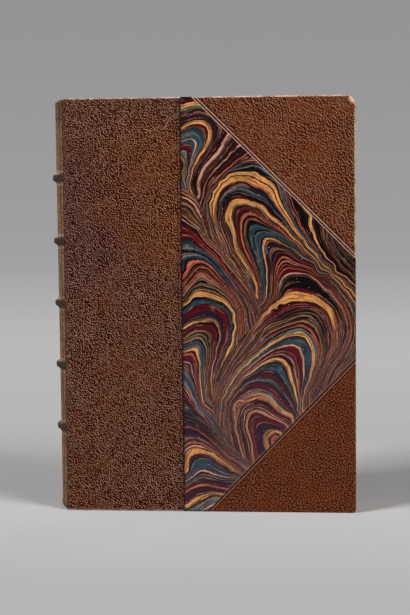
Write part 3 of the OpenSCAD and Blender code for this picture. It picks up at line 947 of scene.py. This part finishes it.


# Tones of a leather go from the bottom of its furrows to the rubbed skin between them; they are partly the
# leather's own colour and partly painted shade in the furrows and painted highlight on the skin
GRAIN_STOPS = (0.02, 0.34, 0.60, 0.98)
SIDE_TONES = (22, 0, 0), (42, 0, 0), (66, 4, 0), (146, 106, 84)
HEAD_CORNER_TONES = (40, 0, 0), (74, 20, 2), (101, 48, 23), (142, 97, 69)
TAIL_CORNER_TONES = (60, 12, 0), (79, 31, 11), (95, 47, 25), (117, 72, 48)
SPINE_TONES = (54, 28, 10), (102, 68, 38), (134, 97, 60), (184, 146, 104)
WORN_TONE = (226, 196, 172)
LEATHER_GLOSS = 0.06


def leather(g, tones, patch_tone, seed, pitch, lean, order, creased):
    """Long-grained goatskin: dark furrows that lean one way, paler skin and faint creases.

    pitch is the furrows' spacing, lean their angle in degrees, order how strictly they keep to it,
    from 0 to 1, and creased how pale the long creases are.
    """
    p = g.rest()
    x, y, z = g.split(p)
    turned = g.minus(g.math("ABSOLUTE", y), LEATHER_Y)
    flat = g.join(g.math("ADD", x, turned), g.math("ADD", z, turned))
    bent = g.warp(g.vmath("ADD", flat, seed), 14.0, 3.0)
    furrows = g.node("TexGabor", {"Vector": bent, "Scale": 0.8 / pitch, "Frequency": 1.25,
                                  "Anisotropy": order, "Orientation": math.radians(lean)},
                     gabor_type="2D").outputs["Value"]
    grain = g.math("MULTIPLY_ADD", g.minus(furrows, 0.5), 4.6, 0.42)
    grain = g.math("MULTIPLY_ADD", g.minus(g.noise(bent, 1.3, 2.0, 0.6), 0.5), 0.35, grain)
    # the grain's tones carry painted shade in the furrows and painted highlight on the skin, as well as the
    # leather's own colour
    colour = g.tones(grain, zip(GRAIN_STOPS, tones))
    patch = g.noise(g.vmath("ADD", p, seed), 24.0, 3.0, 0.6)
    colour = g.tint(colour, g.range(patch, 0.44, 0.70, 0.0, 0.25), patch_tone)
    return p, g.tint(colour, creases(g, bent, creased), (186, 142, 118)), grain


def creases(g, bent, strength):
    """Long thin creases that fade in and out."""
    across, up, _ = g.split(g.warp(bent, 5.0, 2.5))
    cells = g.join(g.math("DIVIDE", g.minus(across, up), 9.0),
                   g.math("DIVIDE", g.math("ADD", across, up), 3.3))
    gap = g.node("TexVoronoi", {"Vector": cells, "Scale": 1.0}, feature="DISTANCE_TO_EDGE",
                 voronoi_dimensions="2D").outputs["Distance"]
    faint = g.range(g.noise(bent, 11.0), 0.36, 0.62, 0.15, 1.0)
    return g.times(g.range(gap, 0.075, 0.015, 0.0, strength), faint)


def grain_bump(g, grain, depth):
    return g.bump(g.range(grain, 0.0, 1.0), depth)


def seam_shade_and_highlight(g, colour, pale, dark):
    """The blind line tooled beside the paper: painted shade in the groove and right beside the paper's edge,
    and a painted highlight on the rim between them.
    """
    d = g.math("DIVIDE", g.attribute("line_mm"), SEAM_W)
    groove_shade = g.greys(d, (0.0, 1.0), (0.22, 0.9), (0.34, 0.0), (0.62, 0.0), (0.72, dark), (0.86, dark),
                     (1.0, 0.0))
    rim = g.greys(d, (0.0, 0.0), (0.33, 0.0), (0.45, 1.0), (0.56, 1.0), (0.66, 0.0), (1.0, 0.0))
    # painted shade in the tooled groove and right beside the paper's edge
    colour = g.tint(colour, groove_shade, (28, 11, 8), 0.9)
    # painted highlight on the rim between the paper and the tooled groove
    return g.tint(colour, rim, (190, 148, 126), pale)


def edge_wear(g, p, colour, tone, amount):
    """Leather rubbed pale along the outer arris of the covers."""
    x, y, z = g.split(p)
    rim_z = g.math("MINIMUM", z, g.minus(BOOK_H, z))
    rim = g.math("MINIMUM", rim_z, g.minus(FORE_X, x))
    patchy = g.noise(p, 6.0, 3.0, 0.6)
    mask = g.times(g.range(rim, 1.1, 0.25), g.range(patchy, 0.35, 0.65, 0.35, 1.0))
    arris = g.range(g.math("ABSOLUTE", y), LEATHER_Y - 2.0, LEATHER_Y - 0.9, 0.2, 1.0)
    return g.tint(colour, g.times(mask, arris), tone, amount)


def spot(g, p, centre, radius):
    """A soft round mask about a point in millimetres."""
    return g.range(g.length(g.vmath("SUBTRACT", p, centre)), radius, radius * 0.45)


def cover_finish(g, colour, grain, depth):
    rough = g.range(grain, 0.0, 1.0, 0.66, 0.48)
    return g.finish(colour, rough, grain_bump(g, grain, depth), LEATHER_GLOSS)


def side_leather_material():
    g = material_graph("side_leather")
    p, colour, grain = leather(g, SIDE_TONES, patch_tone=(98, 48, 18), seed=(3.0, 7.0, 1.0),
                               pitch=1.17, lean=47, order=0.45, creased=0.24)
    warm = spot(g, p, (JOINT_X + 54.0, -LEATHER_Y, 175.0), 55.0)
    colour = g.mix(warm, colour, (1.14, 1.04, 0.74, 1.0), "MULTIPLY")
    cool = spot(g, p, (JOINT_X + 4.0, -LEATHER_Y, 160.0), 55.0)
    colour = g.mix(cool, colour, (0.86, 0.84, 1.04, 1.0), "MULTIPLY")
    # painted shade in the tooled groove only, with no painted highlight on its rim
    colour = seam_shade_and_highlight(g, colour, 0.0, 0.5)
    colour = edge_wear(g, p, colour, WORN_TONE, 0.9)
    return cover_finish(g, colour, grain, 0.03)


def head_corner_material():
    g = material_graph("head_corner_leather")
    p, colour, grain = leather(g, HEAD_CORNER_TONES, patch_tone=(122, 62, 22), seed=(60.0, 0.0, 190.0),
                               pitch=1.36, lean=45, order=0.55, creased=0.2)
    # a strong painted highlight on the tooled line's rim here, where the line faces up towards the light
    colour = seam_shade_and_highlight(g, colour, 0.75, 0.8)
    colour = edge_wear(g, p, colour, WORN_TONE, 0.9)
    worn = spot(g, p, (FORE_X - 0.4, -LEATHER_Y, BOOK_H - 1.6), 4.0)
    colour = g.tint(colour, worn, (228, 190, 156))
    return cover_finish(g, colour, grain, 0.05)


def tail_corner_material():
    g = material_graph("tail_corner_leather")
    p, colour, grain = leather(g, TAIL_CORNER_TONES, patch_tone=(106, 50, 16), seed=(50.0, 0.0, 40.0),
                               pitch=1.38, lean=46, order=0.12, creased=0.05)
    # a weaker painted highlight on the rim here, where the line faces away from the light
    colour = seam_shade_and_highlight(g, colour, 0.3, 0.8)
    colour = edge_wear(g, p, colour, (150, 96, 66), 0.4)
    return cover_finish(g, colour, grain, 0.03)


def band_tone_and_shade(g, colour, z):
    """Leather darkened at the raised bands, partly its own colour and partly painted shade on their
    undersides, darkened at the end rules, and with pale fillet lines by the bands.
    """
    for centre in BAND_Z:
        above = g.minus(z, centre)
        # painted shade on the band's underside, centred a little below the band, over the band's own darker
        # colour
        colour = g.tint(colour, g.range(g.off(above, -0.5), 3.0, 1.6), (40, 28, 18), 0.85)
        for edge in (-4.1, 3.0):
            colour = g.tint(colour, g.range(g.off(above, edge), 0.7, 0.25), (158, 134, 116), 0.5)
    for centre in END_RULES:
        colour = g.tint(colour, g.range(g.off(z, centre), 1.2, 0.5), (64, 44, 28), 0.8)
    return colour


def joint_tone_and_shade(g, colour, grain, x, z):
    """The unfaded brown beside the joints, with painted shade as a dark line in the furrow at the joint and
    in a crease behind it.
    """
    fade = g.math("MULTIPLY_ADD", z, -1.8 / BOOK_H, g.minus(JOINT_X - 0.6, x))
    # painted shade: a dark line in the crease behind the joint
    colour = g.tint(colour, g.range(g.off(fade, 1.9), 0.6, 0.2), (70, 42, 24), 0.7)
    brown = g.tones(grain, zip(GRAIN_STOPS, SIDE_TONES))
    colour = g.mix(g.range(fade, 0.25, -0.25), colour, brown)
    # painted shade: a dark line in the furrow at the joint
    return g.tint(colour, g.range(g.off(fade, -0.15), 0.5, 0.15), (46, 22, 12), 0.7)


def spine_material():
    """Leather faded to tan by light, browner at the bands and caps with painted shade under the bands, and
    unfaded by the joints with painted shade in their furrows.
    """
    g = material_graph("spine_leather")
    p, colour, grain = leather(g, SPINE_TONES, patch_tone=(118, 80, 44), seed=(9.0, 5.0, 2.0),
                               pitch=1.4, lean=47, order=0.5, creased=0.2)
    x, _, z = g.split(p)
    streak = g.noise(g.vmath("MULTIPLY", p, (1.0, 1.0, 0.06)), 0.9)
    colour = g.tint(colour, g.range(streak, 0.44, 0.64, 0.0, 0.6), (62, 36, 20))
    colour = band_tone_and_shade(g, colour, z)
    ends = g.math("MINIMUM", z, g.minus(BOOK_H, z))
    colour = g.tint(colour, g.range(ends, 4.0, 0.5, 0.0, 0.75), (66, 44, 34))
    patchy = g.range(g.noise(p, 1.6, 2.0, 0.6), 0.40, 0.55, 0.2, 0.75)
    handled = g.times(g.range(z, 206.0, 214.0), patchy)
    colour = g.tint(colour, handled, (62, 42, 26))
    colour = joint_tone_and_shade(g, colour, grain, x, z)
    return g.finish(colour, g.range(grain, 0.35, 0.65, 0.72, 0.5), grain_bump(g, grain, 0.1), 0.2)


INKS = {
    "OC": (228, 166, 98), "OD": (162, 114, 76), "SA": (190, 106, 80), "PK": (216, 162, 138),
    "TE": (48, 84, 94), "TD": (20, 36, 46), "TG": (100, 118, 120),
    "MA": (96, 18, 28), "RD": (114, 14, 28), "MD": (40, 10, 14), "MG": (102, 72, 76),
    "PU": (56, 32, 50), "NK": (12, 9, 12), "NT": (16, 26, 34), "BR": (106, 62, 46), "GG": (96, 108, 84),
    "RB": (76, 30, 30),
}

RAMP_STOPS = 20

# Bands of ink by the height at which each begins, from the head down
MIDDLE_BANDS = [
    (224.4, "NK"), (220.1, "NT"), (218.5, "MG"), (217.4, "NK"), (215.8, "MG"), (214.7, "NK"),
    (211.0, "MD"), (208.8, "BR"), (207.8, "OD"), (206.4, "MD"), (202.4, "NK"), (199.2, "TD"),
    (197.8, "OC"), (196.2, "TD"), (195.4, "NK"), (194.1, "MD"), (193.0, "SA"), (192.6, "MD"),
    (191.4, "PK"), (191.1, "MA"), (190.0, "MD"), (189.5, "TD"), (188.2, "TG"), (187.0, "TD"),
    (186.3, "NT"), (184.5, "OC"), (182.0, "MD"), (181.2, "OC"), (179.0, "SA"), (178.2, "TD"),
    (176.6, "PU"), (175.5, "TE"), (173.9, "NK"), (171.2, "MA"), (169.9, "OC"), (166.6, "GG"),
    (165.8, "MA"), (164.5, "BR"), (163.7, "MA"), (162.1, "SA"), (160.7, "MD"), (159.4, "BR"),
    (158.3, "NK"), (156.7, "TE"), (154.5, "TD"), (153.4, "TE"), (150.2, "TD"), (149.1, "OC"),
    (147.8, "MD"), (147.0, "PU"), (144.8, "MD"), (143.7, "MG"), (142.9, "MD"), (141.6, "MG"),
    (140.8, "MA"), (139.4, "MD"), (138.3, "SA"), (137.6, "MD"), (136.6, "SA"), (135.9, "MD"),
    (134.9, "BR"), (134.4, "MD"), (133.5, "SA"), (133.0, "MA"), (130.5, "PK"), (129.9, "MG"),
    (128.9, "NK"), (121.6, "MA"), (119.7, "OC"), (114.3, "MD"), (113.5, "MA"), (111.1, "PU"),
    (109.7, "BR"), (108.7, "MD"), (107.8, "OD"), (107.0, "MD"), (106.2, "GG"), (105.4, "MD"),
    (104.6, "BR"), (103.8, "OD"), (103.0, "MD"), (101.9, "SA"), (100.5, "MD"), (99.5, "TG"),
    (97.6, "OC"), (95.4, "MD"), (94.6, "TE"), (90.8, "PK"), (90.0, "MA"), (86.5, "PK"), (85.8, "MD"),
    (84.0, "OC"), (81.6, "NK"), (80.5, "TE"), (77.3, "MD"), (75.1, "MA"), (72.4, "TG"), (70.2, "NK"),
    (69.2, "MA"), (65.9, "MG"), (64.1, "TG"), (63.5, "OC"), (61.9, "SA"), (61.5, "MD"), (59.9, "MA"),
    (57.4, "PK"), (57.0, "NK"), (56.1, "OD"), (54.8, "PK"), (54.4, "MA"), (50.2, "PU"), (45.0, "OC"),
    (42.8, "NK"), (41.8, "SA"),
]
LEFT_BANDS = [
    (176.1, "OD"), (175.0, "MD"), (173.9, "OD"), (172.8, "MD"), (171.2, "PK"), (170.1, "BR"),
    (169.1, "MD"), (168.0, "OD"), (166.9, "NK"), (165.8, "MG"), (164.8, "OD"), (163.7, "NK"),
    (162.6, "BR"), (161.0, "OD"), (159.9, "MD"), (158.3, "PK"), (157.2, "MD"), (154.5, "RD"),
    (148.1, "PU"), (147.0, "TE"), (142.7, "TD"), (141.0, "TE"), (137.3, "MD"), (136.2, "SA"),
    (134.3, "MD"), (133.5, "BR"), (132.4, "SA"), (131.6, "MD"), (130.8, "BR"), (129.7, "SA"),
    (128.9, "MD"), (128.1, "SA"), (127.0, "TG"), (125.9, "NK"), (124.3, "OD"), (123.0, "TD"),
    (121.1, "OD"), (120.0, "NK"), (119.2, "OC"), (116.5, "NK"), (115.7, "TD"), (114.6, "TE"),
    (112.7, "RD"), (109.2, "PU"), (106.0, "MG"), (104.6, "OC"), (103.5, "MD"), (101.6, "MA"),
    (98.9, "OD"), (97.6, "NK"), (96.8, "GG"), (95.7, "NK"), (94.9, "OD"), (93.9, "TD"), (92.4, "TE"),
    (88.9, "OC"), (87.6, "NK"), (86.5, "SA"), (85.4, "MA"), (82.1, "PK"), (81.3, "MD"), (78.9, "TG"),
    (77.3, "TE"), (71.9, "TG"), (69.7, "PK"), (69.2, "MA"), (67.5, "PK"), (67.0, "MD"), (65.4, "SA"),
    (64.8, "MA"), (63.2, "NK"), (59.4, "NT"),
]
TOP_BANDS = [
    (226.5, "MG"), (224.9, "MD"), (222.8, "RD"), (221.2, "OC"), (219.3, "GG"), (217.7, "RB"),
    (216.6, "MD"), (215.8, "MG"), (215.0, "MD"), (214.2, "RB"), (213.4, "PU"), (212.3, "MD"),
    (211.8, "OC"), (209.2, "MA"), (207.2, "TE"), (205.1, "TG"), (204.0, "TE"), (201.9, "PK"),
    (201.0, "TE"), (199.2, "MA"), (195.9, "TG"), (194.9, "GG"), (193.3, "OC"), (191.9, "PU"),
    (190.0, "TE"),
]
FOOT_BANDS = [
    (61.6, "NK"), (58.9, "GG"), (58.3, "NT"), (56.1, "GG"), (55.8, "NK"), (54.0, "MG"), (53.4, "NK"),
    (51.3, "GG"), (50.9, "NT"), (49.1, "RB"), (46.1, "SA"), (45.1, "MD"), (43.1, "PU"), (40.9, "MG"),
    (39.9, "PU"), (38.2, "SA"), (36.9, "MD"), (36.1, "PK"), (35.4, "MD"), (34.4, "OC"), (31.7, "MA"),
    (30.4, "NK"), (29.5, "TE"), (23.0, "PK"), (22.2, "MD"), (20.8, "GG"), (20.3, "TD"), (19.5, "TG"),
    (18.7, "PU"), (16.5, "MA"), (14.9, "SA"), (14.2, "MA"), (12.7, "PU"), (10.9, "OC"), (8.9, "NK"),
    (7.8, "TG"), (4.5, "PK"), (3.7, "NK"), (1.8, "MG"),
]
FAN_BANDS = [
    (224.4, "MD"), (221.0, "SA"), (219.9, "NK"), (219.0, "RB"), (218.3, "PK"), (216.7, "MG"),
    (215.8, "RB"), (215.1, "MD"), (214.2, "RB"), (212.9, "PK"), (212.4, "MD"), (211.6, "RB"),
    (210.9, "MD"), (210.4, "RB"), (209.6, "SA"), (209.1, "MD"), (208.5, "PU"), (207.8, "NT"),
    (206.2, "TD"),
]

THREADS = [
    (0.0, (182, 134, 112)), (0.07, (32, 14, 16)), (0.15, (118, 72, 64)), (0.24, (58, 22, 26)),
    (0.33, (102, 56, 52)), (0.42, (42, 18, 22)), (0.48, (196, 148, 120)), (0.54, (24, 12, 14)),
    (0.62, (104, 76, 76)), (0.72, (54, 20, 26)), (0.80, (150, 106, 92)), (0.86, (68, 34, 36)),
    (0.95, (32, 14, 18)),
]

BANDS = (MIDDLE_BANDS, LEFT_BANDS, TOP_BANDS, FOOT_BANDS, FAN_BANDS)


def ramp_chain(g, height, bands):
    """Bands of colour from the head down, over as many ramps as they need."""
    colour = None
    for i in range(0, len(bands), RAMP_STOPS):
        part = bands[i:i + RAMP_STOPS]
        rest = bands[i + RAMP_STOPS:]
        top = part[0][0]
        span = top - (rest[0][0] if rest else part[-1][0] - 3.0)
        below = g.minus(top, height)
        share = g.math("DIVIDE", below, span, clamp=True)
        ramp = g.tones(share, [((top - z) / span, INKS[ink]) for z, ink in part], "CONSTANT")
        colour = g.mix(g.math("GREATER_THAN", below, 0.0), colour, ramp) if colour else ramp
    return colour


def inked(g, p, height):
    """The bands of ink of every plume, and threads where a limb is drawn out."""
    plume = g.attribute("plume")
    colour = ramp_chain(g, height, BANDS[0])
    for number, bands in enumerate(BANDS[1:], 1):
        mine = g.math("COMPARE", plume, float(number), 0.5)
        colour = g.mix(mine, colour, ramp_chain(g, height, bands))
    turns_of_thread = g.math("MULTIPLY_ADD", g.minus(g.noise(p, 14.0, 1.0), 0.5), 0.8,
                             g.math("DIVIDE", height, 12.5))
    threads = g.tones(g.math("FRACT", turns_of_thread), THREADS, "CONSTANT")
    return g.mix(g.times(g.attribute("drawn"), 0.9), colour, threads)


def dragged(g, height, u, v, across, along_by, detail=2.0, rough=0.6):
    """Noise drawn out along the bands: across is how fast it changes from band to band."""
    where = g.join(g.times(height, across), g.times(u, along_by), g.times(v, along_by))
    return g.noise(where, 1.0, detail, rough)


def veined(g, colour, height, x, z):
    """Dark and pale veins, dark hairs and clouds that all follow the bands."""
    veins = dragged(g, height, x, z, 0.95, 0.035)
    dark = g.times(g.range(veins, 0.545, 0.60), g.range(veins, 0.70, 0.62))
    colour = g.tint(colour, dark, (34, 16, 18), 0.75)
    pale = g.times(g.range(veins, 0.425, 0.395), g.range(veins, 0.34, 0.37))
    colour = g.tint(colour, pale, (206, 152, 118), 0.55)
    hairs = dragged(g, height, z, x, 1.7, 0.035, 1.0, 0.5)
    colour = g.tint(colour, g.range(hairs, 0.55, 0.66, 0.0, 0.5), (26, 12, 14))
    veil = dragged(g, height, x, z, 0.12, 0.10)
    colour = g.tint(colour, g.range(veil, 0.62, 0.76, 0.0, 0.35), (168, 166, 160))
    shade = dragged(g, height, x, z, 0.35, 0.12, 3.0, 0.65)
    return g.tint(colour, g.range(shade, 0.46, 0.72, 0.0, 0.6), (34, 20, 20))


def paper_edges(g, colour, p):
    """Paper pale along its edge by the head corner, partly worn and partly a painted highlight where that
    edge faces the light, worn paler by the tail corner, and dirty by the side leather.
    """
    # painted highlight, partly wear, along the paper's edge by the head corner
    head = g.range(g.attribute("to_head_corner"), -0.65, -0.25, 0.0, 0.8)
    colour = g.tint(colour, head, (196, 154, 136))
    tail = g.range(g.attribute("to_tail_corner"), -1.3, -0.5, 0.0, 0.4)
    colour = g.tint(colour, tail, (128, 92, 80))
    side = g.range(g.attribute("to_side_leather"), -1.2, -0.2)
    dots = g.range(g.noise(p, 1.1, 1.0), 0.3, 0.6, 0.95, 0.5)
    return g.tint(colour, g.times(side, dots), (36, 20, 16))


def marbled_material(name, seed):
    """Marbled paper: bands of ink along the field, streaked and threaded, and a light burnish."""
    g = material_graph(name)
    p = g.vmath("ADD", g.coords(), seed)
    x, _, z = g.split(p)
    height = g.attribute("height_mm")
    height = g.math("MULTIPLY_ADD", g.minus(g.noise(p, 7.0), 0.5), 1.6, height)
    height = g.math("MULTIPLY_ADD", g.minus(g.noise(p, 2.4, 2.0, 0.6), 0.5), 0.75, height)
    colour = veined(g, inked(g, p, height), height, x, z)
    mottle = g.noise(p, 0.9, 2.0, 0.7)
    colour = g.tint(colour, g.range(mottle, 0.5, 0.75, 0.0, 0.45), (40, 28, 30))
    fleck = g.node("TexVoronoi", {"Vector": p, "Scale": 1 / 2.6}).outputs["Distance"]
    colour = g.tint(colour, g.range(fleck, 0.10, 0.05, 0.0, 0.7), (210, 200, 190))
    colour = g.node("Gamma", {0: colour, 1: 1.17}).outputs[0]
    colour = g.tint(colour, g.range(z, 120.0, 60.0, 0.0, 0.08), (132, 104, 118))
    colour = paper_edges(g, colour, p)
    fibre = g.noise(g.vmath("MULTIPLY", p, (1.0, 1.0, 3.0)), 0.5)
    return g.finish(colour, g.range(mottle, 0.3, 0.7, 0.5, 0.62), g.bump(fibre, 0.02, 0.5), 0.06)


def endpaper_material():
    """Cream laid paper, clouded and foxed."""
    g = material_graph("endpaper")
    p = g.coords()
    cloud = g.range(g.noise(p, 25.0, 4.0, 0.6), 0.3, 0.7)
    colour = g.mix(cloud, linear(226, 214, 186), linear(208, 190, 156))
    fox = g.node("TexVoronoi", {"Vector": g.warp(p, 5.0, 3.0), "Scale": 1 / 22.0}).outputs["Distance"]
    colour = g.tint(colour, g.range(fox, 0.10, 0.04, 0.0, 0.35), (170, 128, 84))
    laid = g.math("SINE", g.times(g.split(p)[2], 2 * math.pi / 1.1))
    height = g.math("MULTIPLY_ADD", laid, 0.25, g.noise(p, 0.6))
    return g.finish(colour, 0.85, g.bump(height, 0.03, 0.6), 0.25)


def leaves_material():
    """Cut edges of the leaves, toned by age and streaked leaf by leaf."""
    g = material_graph("leaves")
    x, y, z = g.split(g.coords())
    leaf = g.noise(g.join(g.times(y, 6.0), g.times(z, 0.015), g.times(x, 0.015)), 1.0, 2.0, 0.7)
    colour = g.tones(leaf, [(0.35, (158, 130, 92)), (0.5, (206, 184, 146)), (0.68, (228, 212, 180))])
    quire = g.noise(g.join(g.times(y, 0.9), 0.0), 1.0, 1.0)
    colour = g.tint(colour, g.range(quire, 0.55, 0.75, 0.0, 0.4), (168, 138, 98))
    return g.finish(colour, 0.8, g.bump(leaf, 0.12, 0.9), 0.25)


def silk_material():
    """Silk thread in two colours by turns."""
    g = material_graph("silk")
    y = g.split(g.coords())[1]
    turn = g.math("FRACT", g.math("DIVIDE", g.math("ADD", y, 40.0), 2.6))
    colour = g.mix(g.math("GREATER_THAN", turn, 0.5), linear(140, 44, 40), linear(222, 206, 170))
    thread = g.math("SINE", g.times(y, 2 * math.pi / 0.3))
    return g.finish(colour, 0.45, g.bump(thread, 0.03, 0.7), 0.4, sheen=0.3)


def plain_fibre(name, base, dark, size):
    """Board, lining and band cores: short fibres pressed flat."""
    g = material_graph(name)
    fibre = g.noise(g.warp(g.coords(), 4.0, 2.0), size, 4.0, 0.7)
    colour = g.mix(g.range(fibre, 0.35, 0.65), linear(*dark), linear(*base))
    return g.finish(colour, 0.9, g.bump(fibre, 0.08, 0.7), 0.2)


# The stage, in metres

FLOOR_EDGE = 80.0
FLOOR_SQUARES = 24
WORLD_LIGHT = 0.11
AIM = (0.0, 0.0, 0.11)
LIGHT_DISTANCE = 2.4

# Each light's azimuth, with 0 straight in front, elevation, size, power, and whether it spares the floor
LIGHTS = {
    "key_left": (-45, 34, 0.8, 45.0, False),
    "key_right": (45, 34, 0.8, 30.0, False),
    "fill_left": (-145, 30, 1.6, 20.0, True),
    "fill_right": (145, 30, 1.6, 20.0, True),
}

CAMERA_LENS = 87.8
CAMERA_PLACE = (0.07245, -0.8257, 0.1324)
CAMERA_YAW = 4.96
CAMERA_PITCH = 1.508
CAMERA_ROLL = -0.22

# Grey levels of the floor from the horizon (0) to where it takes the light (1)
FAR_GREYS = [(0.0, 163), (0.075, 168), (0.19, 174), (0.31, 181), (0.42, 184), (0.54, 185), (0.77, 182),
             (1.0, 182)]

# Grey levels of the backdrop by height, from a little below the horizon
SKY_DIP = 0.05
SKY_GREYS = [(-0.05, 174), (-0.024, 168.5), (0.0, 162), (0.03, 158), (0.075, 155), (0.11, 152),
             (0.145, 149), (0.18, 148)]


def floor_material():
    """A pale floor: it takes light and shadow round the book, and glows level in the distance."""
    g = material_graph("floor")
    p = g.node("TexCoord").outputs["Object"]
    away = g.length(p)
    cloud = g.noise(p, 1 / 9.0, 3.0)
    colour = g.mix(g.range(cloud, 0.3, 0.7), linear(194, 192, 193), linear(189, 188, 189))
    # painted shade: the floor's colour darkens in front of the book, offsetting the lamps' light there
    colour = g.tint(colour, g.range(g.split(p)[1], 0.0, -0.26), (173, 173, 174))
    lit = g.node("BsdfDiffuse", {"Color": colour, "Roughness": 0.5})
    nearness = g.math("DIVIDE", 198.6 / 173.0, g.math("ADD", away, 0.83), clamp=True)
    greys = g.tones(nearness, [(f, (v, v, v)) for f, v in FAR_GREYS])
    glow = g.node("Emission", {"Color": greys})
    seen = g.times(g.node("LightPath").outputs["Is Camera Ray"], g.range(away, 0.30, 0.52))
    return g.show(g.node("MixShader", {0: seen, 1: lit.outputs[0], 2: glow.outputs[0]}))


def build_world():
    """Soft light from all round, and a plain grey backdrop that only the camera sees."""
    world = bpy.data.worlds.new("studio")
    bpy.context.scene.world = world
    g = Graph(world, "OutputWorld")
    light = g.node("Background", {"Color": (1, 1, 1, 1), "Strength": WORLD_LIGHT})
    up = g.math("ADD", g.split(g.node("TexCoord").outputs["Generated"])[2], SKY_DIP)
    greys = g.tones(up, [(height + SKY_DIP, (v, v, v)) for height, v in SKY_GREYS])
    seen = g.node("Background", {"Color": greys})
    camera_ray = g.node("LightPath").outputs["Is Camera Ray"]
    g.show(g.node("MixShader", {0: camera_ray, 1: light.outputs[0], 2: seen.outputs[0]}))


def build_floor():
    bm = bmesh.new()
    bmesh.ops.create_grid(bm, x_segments=FLOOR_SQUARES, y_segments=FLOOR_SQUARES, size=FLOOR_EDGE / MM)
    floor = make_object("floor", bm)
    paint(floor, floor_material())
    return floor


def direction(azimuth, elevation):
    a, e = math.radians(azimuth), math.radians(elevation)
    return Vector((math.sin(a) * math.cos(e), -math.cos(a) * math.cos(e), math.sin(e)))


def build_lights(floor):
    """Area lights that look at the middle of the book."""
    for name, (azimuth, elevation, size, power, spares_floor) in LIGHTS.items():
        data = bpy.data.lights.new(name, "AREA")
        data.shape = "SQUARE"
        data.size = size
        data.energy = power
        obj = bpy.data.objects.new(name, data)
        bpy.context.scene.collection.objects.link(obj)
        outwards = direction(azimuth, elevation)
        obj.location = Vector(AIM) + outwards * LIGHT_DISTANCE
        obj.rotation_euler = (-outwards).to_track_quat("-Z", "Y").to_euler()
        if spares_floor:
            spared = bpy.data.collections.new(name + "_spares")
            spared.objects.link(floor)
            spared.collection_objects[0].light_linking.link_state = "EXCLUDE"
            obj.light_linking.receiver_collection = spared


def build_camera():
    data = bpy.data.cameras.new("camera")
    data.lens = CAMERA_LENS
    data.sensor_width = 36.0
    data.sensor_fit = "AUTO"
    data.clip_start = 0.05
    data.clip_end = 100.0
    camera = bpy.data.objects.new("camera", data)
    bpy.context.scene.collection.objects.link(camera)
    camera.location = CAMERA_PLACE
    turn = (-direction(CAMERA_YAW, CAMERA_PITCH)).to_track_quat("-Z", "Y").to_matrix()
    roll = Matrix.Rotation(math.radians(CAMERA_ROLL), 3, Vector((0, 0, 1)))
    camera.rotation_euler = (turn @ roll).to_euler()
    bpy.context.scene.camera = camera


# The book


def dress(node, material):
    """A CAD node that stays gets a procedural finish."""
    paint(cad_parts[node], material)


def build_cover(side, materials):
    """One cover; its side leather crosses the joint and is not put on the cover's body."""
    body = f"{side}_cover"
    for kind in LINES:
        piece = leather_piece(side, kind)
        hinge = kind == "side_leather"
        place(piece, None if hinge else body, f"{side}_{kind}", materials[kind])
        if hinge:
            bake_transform(piece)
    place(paper_piece(side), body, f"{side}_marbled_paper", materials[f"{side}_marbling"])
    if side == "front":
        place(worn_board(), body, "front_board", materials["board"])
    else:
        dress("back_board", materials["board"])
    dress(f"{side}_pastedown", materials["endpaper"])
    dress(f"{side}_flyleaf", materials["endpaper"])


def build_block(materials):
    place(spine_piece(), "block", "spine_leather", materials["spine"])
    place(block_piece(), "block", "text_block", materials["leaves"])
    place(lining_piece(), "block", "spine_lining", materials["lining"])
    for number in range(len(BAND_Z)):
        place(band_core(number), "block", f"raised_band_{number + 1}", materials["band_core"])
    headband = headband_piece("headband_silk", BOOK_H - SQUARE + HEADBAND_R - HEADBAND_SINK)
    place(headband, "block", "headband", materials["silk"])
    tailband = headband_piece("tailband_silk", SQUARE - HEADBAND_R + HEADBAND_SINK)
    place(tailband, "block", "tailband", materials["silk"])


def build_book():
    materials = {
        "side_leather": side_leather_material(),
        "head_corner": head_corner_material(),
        "tail_corner": tail_corner_material(),
        "spine": spine_material(),
        "front_marbling": marbled_material("marbled_front", (0.0, 0.0, 0.0)),
        "back_marbling": marbled_material("marbled_back", (140.0, 60.0, 90.0)),
        "endpaper": endpaper_material(),
        "leaves": leaves_material(),
        "silk": silk_material(),
        "board": plain_fibre("board", (172, 156, 126), (134, 116, 88), 1.2),
        "lining": plain_fibre("lining", (176, 156, 122), (146, 124, 92), 1.6),
        "band_core": plain_fibre("band_core", (140, 104, 70), (112, 80, 52), 1.0),
    }
    for side in SIDES:
        build_cover(side, materials)
    build_block(materials)


build_camera()
stage_floor = build_floor()
build_world()
build_lights(stage_floor)
build_book()
bpy.context.scene.view_settings.view_transform = "Standard"
